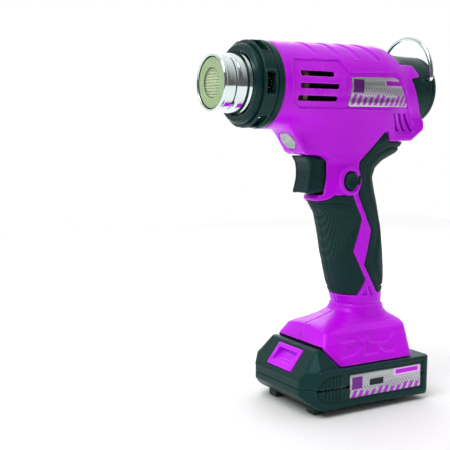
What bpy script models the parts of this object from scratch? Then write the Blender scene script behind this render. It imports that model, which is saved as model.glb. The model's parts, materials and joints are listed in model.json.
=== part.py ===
"""Cordless heat gun with a slide-on battery pack.

The nozzle points to -Y, +Z is up and the tool is symmetric about X = 0.
Its left side, with the lock button, is at +X.  The origin lies under the
middle of the tool, on the surface that the battery feet stand on.
Sizes in this file are in millimetres; MM turns them into metres.
"""
import math

import bmesh
import bpy
from mathutils import Matrix, Vector

MM = 0.001
GAP = 0.3            # clearance between neighbouring solids
HALF_GAP = 0.15      # half of the parting gap between the two housing halves

# Barrel, collar and nozzle: turned about the Y axis at this height
AXIS_Z = 217.2
NOZZLE_FRONT = -85.5
BARREL_FRONT = -47.6
NOZZLE_RADIUS = 18.4
COLLAR_RADIUS = 27.8
CAP_RADIUS = 24.0
CAP_REAR = 85.5

# Handle: horizontal sections (height, front, rear, half width)
HANDLE_SECTIONS = (
    (62.0, 19.0, 53.8, 16.3),
    (70.0, 17.9, 52.9, 16.4),
    (77.2, 15.0, 53.6, 16.2),
    (82.0, 12.9, 54.6, 16.3),
    (92.0, 10.1, 54.2, 16.7),
    (105.0, 7.0, 52.9, 17.0),
    (120.0, 4.0, 50.9, 17.0),
    (132.0, 0.8, 48.3, 17.0),
    (139.0, -4.6, 46.9, 17.0),
    (142.0, -8.8, 46.2, 17.0),
    (144.6, -7.0, 45.2, 17.0),
    (156.0, -4.2, 41.9, 17.2),
    (163.0, -4.2, 44.4, 17.4),
    (168.0, -4.8, 51.0, 17.7),
    (173.6, -8.6, 64.4, 18.6),
    (180.5, -17.0, 68.6, 20.6),
    (190.0, -25.0, 70.0, 23.2),
    (198.0, -29.0, 69.0, 25.4),
    (206.0, -29.0, 66.0, 27.0),
)
HANDLE_POWER = 2.35  # roundness of the sections: 2 is an ellipse, more is squarer
HANDLE_WALL = 4.3    # shell thickness where the grips are let in
GRIP_DEPTH = 2.0     # thickness of the moulded-on grips

# Foot of the handle, above the battery, with the power of each superellipse
FOOT_SECTIONS = (
    (32.0, -3.0, 62.0, 33.3, 16.0),
    (43.9, -13.5, 62.6, 27.9, 14.0),
    (55.8, -8.5, 63.0, 24.2, 12.0),
    (57.0, -5.5, 62.5, 22.2, 9.0),
    (58.5, 1.0, 60.0, 19.5, 5.0),
    (60.5, 9.0, 57.0, 18.0, 3.6),
    (63.0, 15.5, 55.0, 17.0, 2.6),
    (66.0, 18.4, 53.6, 16.3, 2.35),
)
FOOT_CROWN = 0.0065      # the foot's roof falls off towards the sides with the square of x

# Battery pack
PACK_HALF_WIDTH = 36.7
PACK_FRONT = -31.8
PACK_REAR = 74.5
PACK_DECK = 31.5
PACK_SPLIT = 19.0
PACK_FRONT_HALF = 26.0
PACK_CORNER = 10.7
PACK_WALL = 2.5
PACK_BOTTOM_FRONT = 5.6
PACK_BOTTOM_REAR = 3.8
NOSE_TOP = 43.6
NOSE_RIDGE = -17.9
NOSE_BACK = -14.0
NOSE_HALF_TOP = 25.2
NOSE_EDGE_Z = 25.8
CELL_RADIUS = 9.0
CELL_LENGTH = 65.0
CELL_PITCH = 18.2
CELL_COUNT = 5
CELL_FIRST_Y = -11.0
CELL_Z = 17.6

# Controls
TRIGGER_LOW = 145.6
TRIGGER_HIGH = 171.6
TRIGGER_HALF_WIDTH = 9.2
BUTTON_Y = 15.0
BUTTON_Z = 154.5
BUTTON_RADIUS = 5.9
HOOK_Y = 76.0
HOOK_Z = 224.0
HOOK_RADIUS = 26.0
HOOK_WIRE = 1.6
HOOK_RISE = 3.8

# Fan and motor
MOTOR_RADIUS = 12.0
MOTOR_FRONT = -3.0
MOTOR_REAR = 27.0
FAN_FRONT = -19.0
FAN_REAR = -8.0

PINK = ("pink_plastic", (0.55, 0.012, 0.90), 0.32, 0.0)
BLACK = ("black_plastic", (0.012, 0.040, 0.038), 0.38, 0.0)
RUBBER = ("grip_rubber", (0.014, 0.045, 0.043), 0.62, 0.0)
CHROME = ("chrome", (0.78, 0.86, 0.86), 0.10, 1.0)
STEEL = ("steel", (0.52, 0.54, 0.55), 0.32, 1.0)
CERAMIC = ("ceramic", (0.42, 0.50, 0.33), 0.70, 0.0)
MICA = ("mica", (0.48, 0.42, 0.30), 0.55, 0.0)
COPPER = ("copper", (0.55, 0.26, 0.12), 0.35, 1.0)
BOARD = ("board", (0.02, 0.16, 0.06), 0.45, 0.0)
LENS = ("lens", (0.60, 0.66, 0.64), 0.12, 0.0)
LABEL = ("label", (0.66, 0.62, 0.70), 0.35, 0.0)
CELL_WRAP = ("cell_wrap", (0.05, 0.22, 0.42), 0.40, 0.0)


# ---------------------------------------------------------------- tools

def clear_scene():
    """Remove every object that is already in the scene."""
    for obj in list(bpy.data.objects):
        bpy.data.objects.remove(obj, do_unlink=True)


def make_collection(name, hidden=False):
    """Add a collection to the scene."""
    collection = bpy.data.collections.new(name)
    bpy.context.scene.collection.children.link(collection)
    collection.hide_render = hidden
    return collection


def material(spec):
    """Return the Principled material for a (name, colour, roughness, metallic) row."""
    name, colour, roughness, metallic = spec
    found = bpy.data.materials.get(name)
    if found:
        return found
    made = bpy.data.materials.new(name)
    made.use_nodes = True
    shader = made.node_tree.nodes["Principled BSDF"]
    shader.inputs["Base Color"].default_value = (*colour, 1.0)
    shader.inputs["Roughness"].default_value = roughness
    shader.inputs["Metallic"].default_value = metallic
    made.diffuse_color = (*colour, 1.0)
    return made


def add_object(name, mesh, look=None):
    """Link a mesh as a part, or as a cutter when it has no look."""
    obj = bpy.data.objects.new(name, mesh)
    if look is None:
        CUTTERS.objects.link(obj)
        obj.hide_render = True
        obj.display_type = "WIRE"
    else:
        PARTS.objects.link(obj)
        mesh.materials.append(material(look))
    return obj


def mesh_from(bm, name):
    """Turn a bmesh in millimetres into a mesh in metres that faces outwards."""
    bmesh.ops.recalc_face_normals(bm, faces=bm.faces)
    bmesh.ops.scale(bm, vec=(MM, MM, MM), verts=bm.verts)
    mesh = bpy.data.meshes.new(name)
    bm.to_mesh(mesh)
    bm.free()
    return mesh


def smooth(obj, angle=35.0):
    """Shade a round piece smooth, with sharp edges kept."""
    obj.data.shade_smooth()
    obj.data.set_sharp_from_angle(angle=math.radians(angle))
    return obj


def box(name, low, high, look=None):
    """A box between two corners."""
    bm = bmesh.new()
    low, high = Vector(low), Vector(high)
    size = high - low
    place = Matrix.Translation((low + high) / 2) @ Matrix.Diagonal((*size, 1.0))
    bmesh.ops.create_cube(bm, size=1.0, matrix=place)
    return add_object(name, mesh_from(bm, name), look)


def rod(name, start, end, radius, look=None, sides=20):
    """A round bar from start to end."""
    start, end = Vector(start), Vector(end)
    along = end - start
    turn = along.to_track_quat("Z", "Y").to_matrix().to_4x4()
    bm = bmesh.new()
    bmesh.ops.create_cone(
        bm, cap_ends=True, segments=sides, radius1=radius, radius2=radius, depth=along.length,
        matrix=Matrix.Translation((start + end) / 2) @ turn)
    return add_object(name, mesh_from(bm, name), look)


def turned(name, outline, look=None, steps=40):
    """A body turned about the barrel axis from (y, radius) points.

    The points run along the outer side from front to rear, then back inside.
    The outline is a loop, left open only between two points on the axis.
    """
    points = [Vector((radius * MM, 0.0, y * MM)) for y, radius in reversed(outline)]
    pairs = [(i, (i + 1) % len(points)) for i in range(len(points))]
    edges = [(i, j) for i, j in pairs if points[i].x > 0.0 or points[j].x > 0.0]
    mesh = bpy.data.meshes.new(name)
    mesh.from_pydata(points, edges, [])
    obj = add_object(name, mesh, look)
    screw = obj.modifiers.new("Turn", "SCREW")
    screw.axis = "Z"
    screw.steps = steps
    screw.render_steps = steps
    screw.use_merge_vertices = True
    screw.merge_threshold = 0.00001
    screw.use_smooth_shade = True
    obj.location = (0.0, 0.0, AXIS_Z * MM)
    obj.rotation_euler = (math.radians(-90.0), 0.0, 0.0)
    return obj


def plate(name, outline, low, high, axis="Z", look=None):
    """A flat outline drawn as a filled curve and raised from low to high along an axis.

    Along X the outline is (y, z) points, along Z it is (x, y) points.
    """
    curve = bpy.data.curves.new(name, "CURVE")
    curve.dimensions = "2D"
    curve.fill_mode = "BOTH"
    curve.extrude = (high - low) / 2 * MM
    spline = curve.splines.new("POLY")
    spline.points.add(len(outline) - 1)
    for point, (u, v) in zip(spline.points, outline):
        point.co = (u * MM, v * MM, 0.0, 1.0)
    spline.use_cyclic_u = True
    centre = (low + high) / 2 * MM
    place = Matrix.Translation((0.0, 0.0, centre))
    if axis == "X":
        place = Matrix(((0, 0, 1, centre), (1, 0, 0, 0), (0, 1, 0, 0), (0, 0, 0, 1)))
    return curve_to_mesh(name, curve, look, place)


def curve_to_mesh(name, curve, look, place=None):
    """Replace a curve by its own evaluated mesh, with the caps welded on."""
    guide = bpy.data.objects.new(name + "_curve", curve)
    CUTTERS.objects.link(guide)
    bpy.context.view_layer.update()
    depsgraph = bpy.context.evaluated_depsgraph_get()
    mesh = bpy.data.meshes.new_from_object(guide.evaluated_get(depsgraph))
    bpy.data.objects.remove(guide, do_unlink=True)
    bm = bmesh.new()
    bm.from_mesh(mesh)
    bmesh.ops.remove_doubles(bm, verts=bm.verts, dist=0.000005)
    if place is not None:
        bmesh.ops.transform(bm, matrix=place, verts=bm.verts)
    bmesh.ops.recalc_face_normals(bm, faces=bm.faces)
    bm.to_mesh(mesh)
    bm.free()
    mesh.name = name
    mesh.materials.clear()
    return add_object(name, mesh, look)


def wire(name, points, radius, look, resolution=2):
    """A round wire through points, with flat ends."""
    curve = bpy.data.curves.new(name, "CURVE")
    curve.dimensions = "3D"
    curve.bevel_depth = radius * MM
    curve.bevel_resolution = resolution
    curve.use_fill_caps = True
    spline = curve.splines.new("POLY")
    spline.points.add(len(points) - 1)
    for target, point in zip(spline.points, points):
        target.co = (*(Vector(point) * MM), 1.0)
    return smooth(curve_to_mesh(name, curve, look), 60.0)


def coil_points(start, end, radius, turns, per_turn=10):
    """Points of a helix from start to end."""
    start, end = Vector(start), Vector(end)
    turn = (end - start).to_track_quat("Z", "Y")
    count = int(turns * per_turn)
    points = []
    for i in range(count + 1):
        angle = 2 * math.pi * turns * i / count
        side = turn @ Vector((radius * math.cos(angle), radius * math.sin(angle), 0.0))
        points.append(start.lerp(end, i / count) + side)
    return points


def rounded_ring(height, front, rear, half_width, power, count):
    """One horizontal section: a superellipse between front and rear."""
    middle = (front + rear) / 2
    half_length = (rear - front) / 2
    ring = []
    for i in range(count):
        angle = 2 * math.pi * i / count
        c, s = math.cos(angle), math.sin(angle)
        x = half_width * math.copysign(abs(c) ** (2 / power), c)
        y = middle + half_length * math.copysign(abs(s) ** (2 / power), s)
        ring.append((x, y, height))
    return ring


def loft(name, rings, look=None):
    """A closed body through rings of equal point counts."""
    bm = bmesh.new()
    loops = [[bm.verts.new(point) for point in ring] for ring in rings]
    count = len(rings[0])
    for low, high in zip(loops, loops[1:]):
        for i in range(count):
            j = (i + 1) % count
            bm.faces.new((low[i], low[j], high[j], high[i]))
    bm.faces.new(list(reversed(loops[0])))
    bm.faces.new(loops[-1])
    return add_object(name, mesh_from(bm, name), look)


def handle_loft(name, inset, low=0.0, count=22, look=None):
    """The handle's outer form, moved inwards by inset."""
    rings = []
    for height, front, rear, half_width in HANDLE_SECTIONS:
        if height >= low:
            rings.append(rounded_ring(height, front + inset, rear - inset,
                                      half_width - inset, HANDLE_POWER, count))
    return loft(name, rings, look)


def cut(obj, *cutters, operation="DIFFERENCE", solver="EXACT"):
    """Add one Boolean modifier for each cutter."""
    for cutter in cutters:
        change = obj.modifiers.new(cutter.name, "BOOLEAN")
        change.operation = operation
        change.object = cutter
        change.solver = solver
    return obj


def bevel(obj, width, segments=1, angle=30.0):
    """Round the edges that turn by more than an angle."""
    change = obj.modifiers.new("Edges", "BEVEL")
    change.width = width * MM
    change.segments = segments
    change.limit_method = "ANGLE"
    change.angle_limit = math.radians(angle)
    return obj


def put_origin(obj, point):
    """Move an object's origin to a point in world space, and leave its shape where it is."""
    shift = Vector(point) * MM
    obj.data.transform(Matrix.Translation(-shift))
    obj.location = shift
    return obj


def sign_of(side):
    """+1 for the left side and -1 for the right side."""
    return 1.0 if side == "left" else -1.0


# -------------------------------------------------------------- housing

def front_grip_outline(grow=0.0):
    """Side view of the front grip, as (y, z) points."""
    g = grow
    return ((-30.0, 141.6 + g), (-4.6, 140.4 + g), (0.4, 142.4 + g), (3.6, 144.6 + g),
            (17.0 + g, 144.8 + g), (25.4 + g, 128.3), (19.4 + g, 105.9), (30.5 + g, 85.6),
            (24.6 + g, 75.2 - g), (-30.0, 75.2 - g))


def rear_grip_outline(grow=0.0):
    """Side view of the rear grip, as (y, z) points."""
    g = grow
    return ((39.6, 187.6 + g), (29.6 - g, 175.4), (21.6 - g, 167.0), (22.2 - g, 144.8),
            (34.6 - g, 120.2), (29.2 - g, 96.2), (42.0 - g, 76.0 - g), (90.0, 76.0 - g),
            (90.0, 180.8 + g), (45.6, 181.0 + g), (43.0, 187.6 + g))


def barrel_outline():
    """Outer profile of the pink barrel, as (y, radius) points."""
    return ((BARREL_FRONT, 28.3), (-20.0, 28.8), (20.0, 29.6), (38.0, 29.8),
            (47.0, 28.5), (55.0, 26.6), (64.0, 26.2), (79.0, 26.0))


def hollow_outline():
    """Inner profile of the barrel, as (y, radius) points."""
    return ((-60.0, 25.8), (20.0, 27.0), (38.0, 27.0), (47.0, 25.7), (55.0, 24.4), (95.0, 24.4))


def cap_sleeve_outline():
    """Outer profile of the rear cap under the barrel's edge."""
    return ((33.0, 26.6), (38.0, 26.6), (47.0, 25.3), (55.0, CAP_RADIUS))


def barrel_solid(name, line, look=None, steps=32):
    """A plain turned solid with a barrel profile, closed at both ends."""
    outline = [(line[0][0], 0.0)] + list(line) + [(line[-1][0], 0.0)]
    return turned(name, outline, look, steps)


def chin_solid(name, inset=0.0):
    """The wedge under the barrel's front that holds the work light."""
    outline = ((-31.5 + inset, 191.0), (-30.3 + inset, 188.5), (-20.6 + inset, 173.9 + inset),
               (-17.6 + inset, 172.0 + inset), (11.3, 172.0 + inset), (11.3, 204.0),
               (-31.5 + inset, 204.0))
    return plate(name, outline, -12.5 + inset, 12.5 - inset, "X")


def tail_solid(name, inset=0.0):
    """The lobe under the barrel's rear that holds the slanted vents."""
    outline = ((40.0 + inset, 204.0), (45.8 + inset, 181.5 + inset), (66.6 - inset, 181.5 + inset),
               (78.4 - inset, 189.8 + inset), (78.4 - inset, 204.0))
    return plate(name, outline, -19.5 + inset, 19.5 - inset, "X")


def foot_rings(inset=0.0, low=0.0, count=28):
    """Sections of the handle's foot, nearly rectangular below and round above."""
    rings = []
    for height, front, rear, half_width, power in FOOT_SECTIONS:
        if height >= low:
            ring = rounded_ring(height, front + inset, rear - inset, half_width - inset, power,
                                count)
            share = min(max((height - 46.0) / 6.0, 0.0), 1.0)
            share *= min(max((64.0 - height) / 4.0, 0.0), 1.0)
            rings.append([(x, y, z - share * FOOT_CROWN * x * x) for x, y, z in ring])
    return rings


def rear_edge_cutter(name, back=0.0):
    """Everything behind the stepped rear edge of the pink barrel, moved back a little."""
    edge = ((41.5, 262.0), (43.0, 247.5), (46.5, 240.0), (50.0, 233.3), (62.6, 233.1),
            (67.0, 225.4), (58.6, 223.6), (65.6, 209.6), (73.0, 199.6), (77.1, 194.4),
            (77.1, 170.0))
    outline = [(y + back, z + back * 0.4) for y, z in edge]
    return plate(name, outline + [(120.0, 170.0), (120.0, 262.0)], -45.0, 45.0, "X")


def vent_cutters():
    """Long vents beside the heater and slanted vents beside the motor."""
    cutters = []
    for i, (front, rear) in enumerate(((-34.8, -8.9), (-35.2, -5.2), (-36.2, -5.8))):
        height = 224.0 - 7.75 * i
        cutters.append(box(f"side_vent_{i}", (-45.0, front, height - 1.6), (45.0, rear, height + 1.6)))
    for i in range(3):
        y = 42.9 + 6.6 * i
        outline = ((y, 200.2), (y + 2.6, 200.2), (y + 11.2, 188.2), (y + 8.6, 188.2))
        cutters.append(plate(f"tail_vent_{i}", outline, -45.0, 45.0, "X"))
    return cutters


def grip_recess(name, outline):
    """The skin of the handle that a grip is let into, with its clearance."""
    skin = handle_loft(name, -1.5)
    core = handle_loft(name + "_core", GRIP_DEPTH + GAP)
    region = plate(name + "_region", outline, -40.0, 40.0, "X")
    cut(skin, core)
    cut(skin, region, operation="INTERSECT")
    return skin


def battery_bay():
    """The T-shaped slot that the battery rails slide in: a stem and a wider head."""
    return [box("bay_stem", (-21.6, -40.0, 20.0), (21.6, 58.0, 42.0)),
            box("bay_head", (-25.2, -40.0, 39.1), (25.2, 57.9, 44.6))]


def housing_cutters():
    """All hollows and openings of the housing, in the order they are cut."""
    hollow = [
        barrel_solid("barrel_hollow", hollow_outline(), steps=28),
        handle_loft("handle_hollow", HANDLE_WALL, low=70.0, count=16),
        chin_solid("chin_hollow", 2.4),
        loft("foot_hollow", foot_rings(3.0, low=43.0, count=20)),
    ]
    hollow += battery_bay()
    neck_bore = [rounded_ring(z, 22.6, 49.0, 12.0, HANDLE_POWER, 24) for z in (55.0, 72.0)]
    hollow.append(loft("neck_hollow", neck_bore))
    openings = [
        box("trigger_opening", (-TRIGGER_HALF_WIDTH - 0.4, -40.0, TRIGGER_LOW - 0.5),
            (TRIGGER_HALF_WIDTH + 0.4, 5.7, TRIGGER_HIGH + 0.7)),
        rod("button_hole", (11.0, BUTTON_Y, BUTTON_Z), (25.0, BUTTON_Y, BUTTON_Z),
            BUTTON_RADIUS + 0.35),
        light_window("light_window", 0.3),
        rear_edge_cutter("rear_edge"),
    ]
    recesses = [grip_recess("front_recess", front_grip_outline(GAP)),
                grip_recess("rear_recess", rear_grip_outline(GAP))]
    labels = [label_shape(f"label_seat_{side}", side, GAP) for side in ("left", "right")]
    return hollow + recesses + openings + labels + vent_cutters() + screw_bores()


def build_housing():
    """The two clamshell halves of the body and handle."""
    column = handle_loft("handle_column", 0.0)
    chin = chin_solid("chin")
    tail = tail_solid("tail")
    foot = loft("handle_foot", foot_rings())
    cutters = housing_cutters()
    for side in ("left", "right"):
        half = barrel_solid(f"housing_{side}", barrel_outline(), PINK)
        cut(half, column, chin, tail, foot, operation="UNION", solver="MANIFOLD")
        cut(half, *cutters, solver="MANIFOLD")
        reach = 60.0 * sign_of(side)
        edge = HALF_GAP * sign_of(side)
        keep = box(f"keep_{side}", (min(edge, reach), -90.0, -5.0), (max(edge, reach), 120.0, 280.0))
        cut(half, keep, operation="INTERSECT", solver="MANIFOLD")


def build_grips():
    """Soft grips moulded onto the front and rear of each housing half."""
    outlines = {"front": front_grip_outline(), "rear": rear_grip_outline()}
    for end, outline in outlines.items():
        for side in ("left", "right"):
            grip = handle_loft(f"grip_{end}_{side}", 0.0, look=RUBBER)
            core = handle_loft(f"grip_{end}_{side}_core", GRIP_DEPTH)
            cut(grip, core)
            edge = HALF_GAP if side == "left" else -40.0
            region = plate(f"grip_{end}_{side}_region", outline, edge, edge + 39.85, "X")
            cut(grip, region, operation="INTERSECT")
            if end == "rear":
                cut(grip, bpy.data.objects["barrel_keepout"], bpy.data.objects["tail_keepout"])


def build_keepouts():
    """Slightly larger copies of the barrel and tail that the rear grips stop at."""
    barrel_solid("barrel_keepout", [(y, radius + GAP) for y, radius in barrel_outline()])
    tail_solid("tail_keepout", -GAP)


def screw_places():
    """Where the housing screws sit, as (y, z)."""
    return ((2.0, 181.5), (27.0, 186.0), (16.0, 139.0), (46.0, 56.5), (28.0, 67.0))


def screw_bores():
    """Counterbores for the screws, on the right-hand side."""
    bores = []
    for i, (y, z) in enumerate(screw_places()):
        bores.append(rod(f"screw_bore_{i}", (-40.0, y, z), (-11.2, y, z), 3.3, sides=12))
        bores.append(rod(f"screw_thread_hole_{i}", (-13.0, y, z), (9.3, y, z), 1.75, sides=8))
    return bores


def build_screws():
    """Five equal screws that hold the halves together."""
    for i, (y, z) in enumerate(screw_places()):
        face = -14.0
        screw = rod(f"housing_screw_{i + 1}", (face, y, z), (face + 2.4, y, z), 2.8, STEEL, 12)
        shank = rod(f"screw_shank_{i}", (face + 2.0, y, z), (9.0, y, z), 1.4, sides=8)
        drive = rod(f"screw_drive_{i}", (face - 1.0, y, z), (face + 1.2, y, z), 1.3, sides=6)
        cut(screw, shank, operation="UNION")
        cut(screw, drive)


# ---------------------------------------------------------- front parts

def build_nozzle():
    """The chromed heater tube with its rolled lip and waist groove."""
    front = NOZZLE_FRONT
    outer = [(front + 0.3, 16.4), (front, 17.2), (front + 0.6, 18.1),
             (front + 1.8, NOZZLE_RADIUS), (front + 8.6, NOZZLE_RADIUS), (front + 10.2, 17.8),
             (front + 12.0, 18.7), (front + 18.4, 19.3),
             (front + 24.0, 19.8), (-32.0, 19.8)]
    inner = [(-32.0, 19.0), (front + 24.0, 19.0), (front + 18.4, 18.5), (front + 12.0, 17.9),
             (front + 10.2, 17.0), (front + 1.8, 17.4),
             (front + 1.2, 16.4)]
    turned("nozzle_tube", outer + inner, CHROME, steps=32)


def build_outlet():
    """The ceramic outlet disc with its honeycomb of holes, and the tube behind it."""
    disc = turned("outlet_ceramic", [(-84.6, 0.0), (-84.6, 15.6), (-83.8, 16.2), (-79.0, 16.2),
                                     (-79.0, 0.0)], CERAMIC, steps=24)
    pitch = 5.4
    holes = []
    for row in range(-2, 3):
        for column in range(-2, 3):
            x = (column + 0.5 * (row % 2)) * pitch + 0.13
            z = row * pitch * math.sqrt(3) / 2 + 0.07
            if math.hypot(x, z) < 1.3 * pitch:
                holes.append((x, AXIS_Z + z))
    for i, (x, z) in enumerate(holes):
        cut(disc, rod(f"outlet_hole_{i}", (x, -90.0, z), (x, -70.0, z), 2.1, sides=6))
    turned("mica_tube", [(-78.5, 16.3), (-34.0, 16.3), (-34.0, 15.5), (-78.5, 15.5)], MICA, 24)


def build_heater():
    """The cross-shaped heater former and the resistance wire wound on it."""
    core = box("heater_core", (-10.0, -76.0, AXIS_Z - 0.6), (10.0, -36.0, AXIS_Z + 0.6), MICA)
    fin = box("heater_fin", (-0.6, -76.0, AXIS_Z - 10.0), (0.6, -36.0, AXIS_Z + 10.0))
    cut(core, fin, operation="UNION")
    points = coil_points((0.0, -74.0, AXIS_Z), (0.0, -38.0, AXIS_Z), 12.2, 6, 10)
    wire("heater_coil", points, 0.6, COPPER, 1)
    turned("heater_flange", [(-31.0, 25.2), (-27.5, 25.2), (-27.5, 12.0), (-31.0, 12.0)], MICA, 28)


def build_collar():
    """The black collar with cooling windows, and the steel guard seen through them."""
    front = -66.2
    outer = [(front, 22.0), (front, 24.4), (front + 2.6, 25.4), (-61.6, COLLAR_RADIUS),
             (-52.4, COLLAR_RADIUS), (-51.8, 28.2), (BARREL_FRONT - 0.4, 28.2),
             (BARREL_FRONT - 0.4, 25.5), (-38.0, 25.5)]
    inner = [(-38.0, 23.4), (-61.0, 23.4), (front + 3.0, 20.6), (front + 0.6, 20.6)]
    collar = turned("collar", outer + inner, BLACK, steps=32)
    for i in range(6):
        angle = math.radians(60.0 * i)
        window = box(f"collar_window_{i}", (20.0, -60.6, -6.8), (34.0, -54.6, 6.8))
        turn = Matrix.Rotation(-angle, 4, "Y")
        window.data.transform(Matrix.Translation((0.0, 0.0, AXIS_Z * MM)) @ turn)
        cut(collar, window)
    turned("collar_guard", [(-60.5, 22.9), (-40.0, 22.9), (-40.0, 22.3), (-60.5, 22.3)],
           STEEL, 28)


def build_rear_cap():
    """The black cap that closes the barrel and lets cooling air in."""
    outer = list(cap_sleeve_outline()) + [
             (83.4, CAP_RADIUS - 0.6), (85.0, CAP_RADIUS - 2.2), (CAP_REAR, CAP_RADIUS - 4.6),
             (CAP_REAR, 0.0)]
    inner = [(83.0, 0.0), (83.0, 20.0), (54.0, 21.4), (33.0, 23.4)]
    cap = turned("rear_cap", outer + inner, BLACK, steps=32)
    shoulder = turned("cap_shoulder", [(36.0, 28.8), (41.0, 28.8), (47.0, 27.9), (54.0, 25.2),
                                       (60.0, CAP_RADIUS - 0.2), (60.0, 22.2), (36.0, 24.2)],
                      steps=32)
    cut(shoulder, rear_edge_cutter("cap_edge", GAP + 0.2), operation="INTERSECT")
    cut(cap, shoulder, operation="UNION")
    for i in range(5):
        half = (16.0, 18.5, 19.0, 18.5, 16.0)[i]
        z = AXIS_Z + 6.0 * (i - 2)
        cut(cap, box(f"intake_{i}", (-half, 80.0, z - 1.3), (half, 90.0, z + 1.3)))
    for side in ("left", "right"):
        reach = 30.0 * sign_of(side)
        start = 17.0 * sign_of(side)
        cut(cap, rod(f"hook_hole_{side}", (start, HOOK_Y, HOOK_Z), (reach, HOOK_Y, HOOK_Z),
                     HOOK_WIRE + 0.3, sides=12))


def build_hook():
    """The wire hanging hook, hinged in two holes of the rear cap."""
    inner_end = CAP_RADIUS - 3.4
    points = [(inner_end, HOOK_Y, HOOK_Z), (HOOK_RADIUS - 0.9, HOOK_Y, HOOK_Z),
              (HOOK_RADIUS - 0.2, HOOK_Y, HOOK_Z + 0.3), (HOOK_RADIUS, HOOK_Y, HOOK_Z + 1.2)]
    for i in range(21):
        angle = math.pi * i / 20
        points.append((HOOK_RADIUS * math.cos(angle), HOOK_Y,
                       HOOK_Z + HOOK_RISE + HOOK_RADIUS * math.sin(angle)))
    points += [(-x, y, z) for x, y, z in reversed(points[:4])]
    hook = wire("hanging_hook", points, HOOK_WIRE, CHROME, 2)
    put_origin(hook, (0.0, HOOK_Y, HOOK_Z))


# ------------------------------------------------------- fan and motor

def build_fan():
    """The radial fan: a hub, a back plate and straight blades."""
    fan = turned("fan_impeller", [(FAN_FRONT, 0.0), (FAN_FRONT, 4.0), (FAN_REAR - 1.6, 4.6),
                                  (FAN_REAR - 1.2, 20.5), (FAN_REAR, 20.5), (FAN_REAR, 0.0)],
                 BLACK, steps=28)
    for i in range(9):
        blade = box(f"fan_blade_{i}", (3.4, FAN_FRONT + 1.0, -0.6), (20.2, FAN_REAR - 0.8, 0.6))
        lean = Matrix.Translation((0.0, 0.0, AXIS_Z * MM)) @ Matrix.Rotation(
            math.radians(40.0 * i), 4, "Y")
        blade.data.transform(lean)
        cut(fan, blade, operation="UNION")
    cut(fan, rod("fan_bore", (0.0, FAN_FRONT + 4.0, AXIS_Z), (0.0, 0.0, AXIS_Z), 1.5, sides=12))
    rod("motor_shaft", (0.0, FAN_FRONT + 4.6, AXIS_Z), (0.0, MOTOR_FRONT + 16.0, AXIS_Z), 1.15,
        STEEL, sides=12)


def build_motor():
    """The motor can, the bush that its shaft turns in, and the plate that carries it."""
    turned("motor_can", [(MOTOR_FRONT, 3.6), (MOTOR_FRONT, MOTOR_RADIUS - 0.6),
                         (MOTOR_FRONT + 0.8, MOTOR_RADIUS), (MOTOR_REAR, MOTOR_RADIUS),
                         (MOTOR_REAR, 3.6)], STEEL, steps=32)
    turned("motor_bush", [(MOTOR_FRONT - 0.6, 3.2), (MOTOR_FRONT + 5.0, 3.2),
                          (MOTOR_FRONT + 5.0, 1.45), (MOTOR_FRONT - 0.6, 1.45)], COPPER, 16)
    mount = turned("motor_mount", [(4.0, 25.4), (8.0, 25.4), (8.0, MOTOR_RADIUS + 0.4),
                                   (4.0, MOTOR_RADIUS + 0.4)], BLACK, steps=32)
    for i in range(6):
        angle = math.radians(60.0 * i + 34.0)
        x, z = 18.7 * math.cos(angle), AXIS_Z + 18.9 * math.sin(angle)
        cut(mount, rod(f"mount_port_{i}", (x, 0.0, z), (x, 12.0, z), 4.2, sides=10))


# ------------------------------------------------------------ controls

def build_trigger():
    """The trigger: a hollow shoe with a concave finger face."""
    outline = [(-19.0, TRIGGER_HIGH), (-16.4, 169.6), (-14.4, 166.4), (-13.5, 161.5),
               (-13.6, 156.0), (-14.8, 150.6), (-16.0, TRIGGER_LOW + 1.4),
               (-15.2, TRIGGER_LOW), (1.2, TRIGGER_LOW), (1.2, TRIGGER_HIGH)]
    trigger = plate("trigger", outline, -TRIGGER_HALF_WIDTH, TRIGGER_HALF_WIDTH, "X", BLACK)
    bevel(trigger, 2.2, 2, 60.0)
    inside = box("trigger_hollow", (-TRIGGER_HALF_WIDTH + 1.8, -9.6, TRIGGER_LOW + 1.8),
                 (TRIGGER_HALF_WIDTH - 1.8, 6.0, TRIGGER_HIGH - 1.8))
    cut(trigger, inside)
    put_origin(trigger, (0.0, -13.5, 158.6))
    wire("trigger_spring", coil_points((0.0, -9.0, 160.0), (0.0, 8.3, 160.0), 3.0, 5, 8), 0.35,
         STEEL, 1)
    switch = box("switch_body", (-8.0, 9.2, 147.5), (8.0, 29.0, 170.0), BLACK)
    bevel(switch, 0.8)


def build_lock_button():
    """The round lock button on the left side and its return spring."""
    button = rod("lock_button", (12.0, BUTTON_Y, BUTTON_Z), (18.6, BUTTON_Y, BUTTON_Z),
                 BUTTON_RADIUS, BLACK, sides=20)
    bevel(button, 1.2, 1, 50.0)
    socket = rod("button_socket", (11.0, BUTTON_Y, BUTTON_Z), (15.0, BUTTON_Y, BUTTON_Z), 4.0)
    cut(button, socket)
    put_origin(button, (18.6, BUTTON_Y, BUTTON_Z))
    wire("lock_button_spring", coil_points((8.9, BUTTON_Y, BUTTON_Z), (14.4, BUTTON_Y, BUTTON_Z),
                                           3.0, 3, 8), 0.3, STEEL, 1)


def light_frame():
    """Place of the work light: its local Z points out of the slanted chin face."""
    along = Vector((0.0, -20.6 + 30.3, 173.9 - 188.5)).normalized()
    out = Vector((0.0, along.z, -along.y))
    across = along.cross(out)
    middle = Vector((0.0, -25.6, 181.2))
    turn = Matrix((across, along, out)).transposed().to_4x4()
    return Matrix.Translation(middle * MM) @ turn


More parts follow.
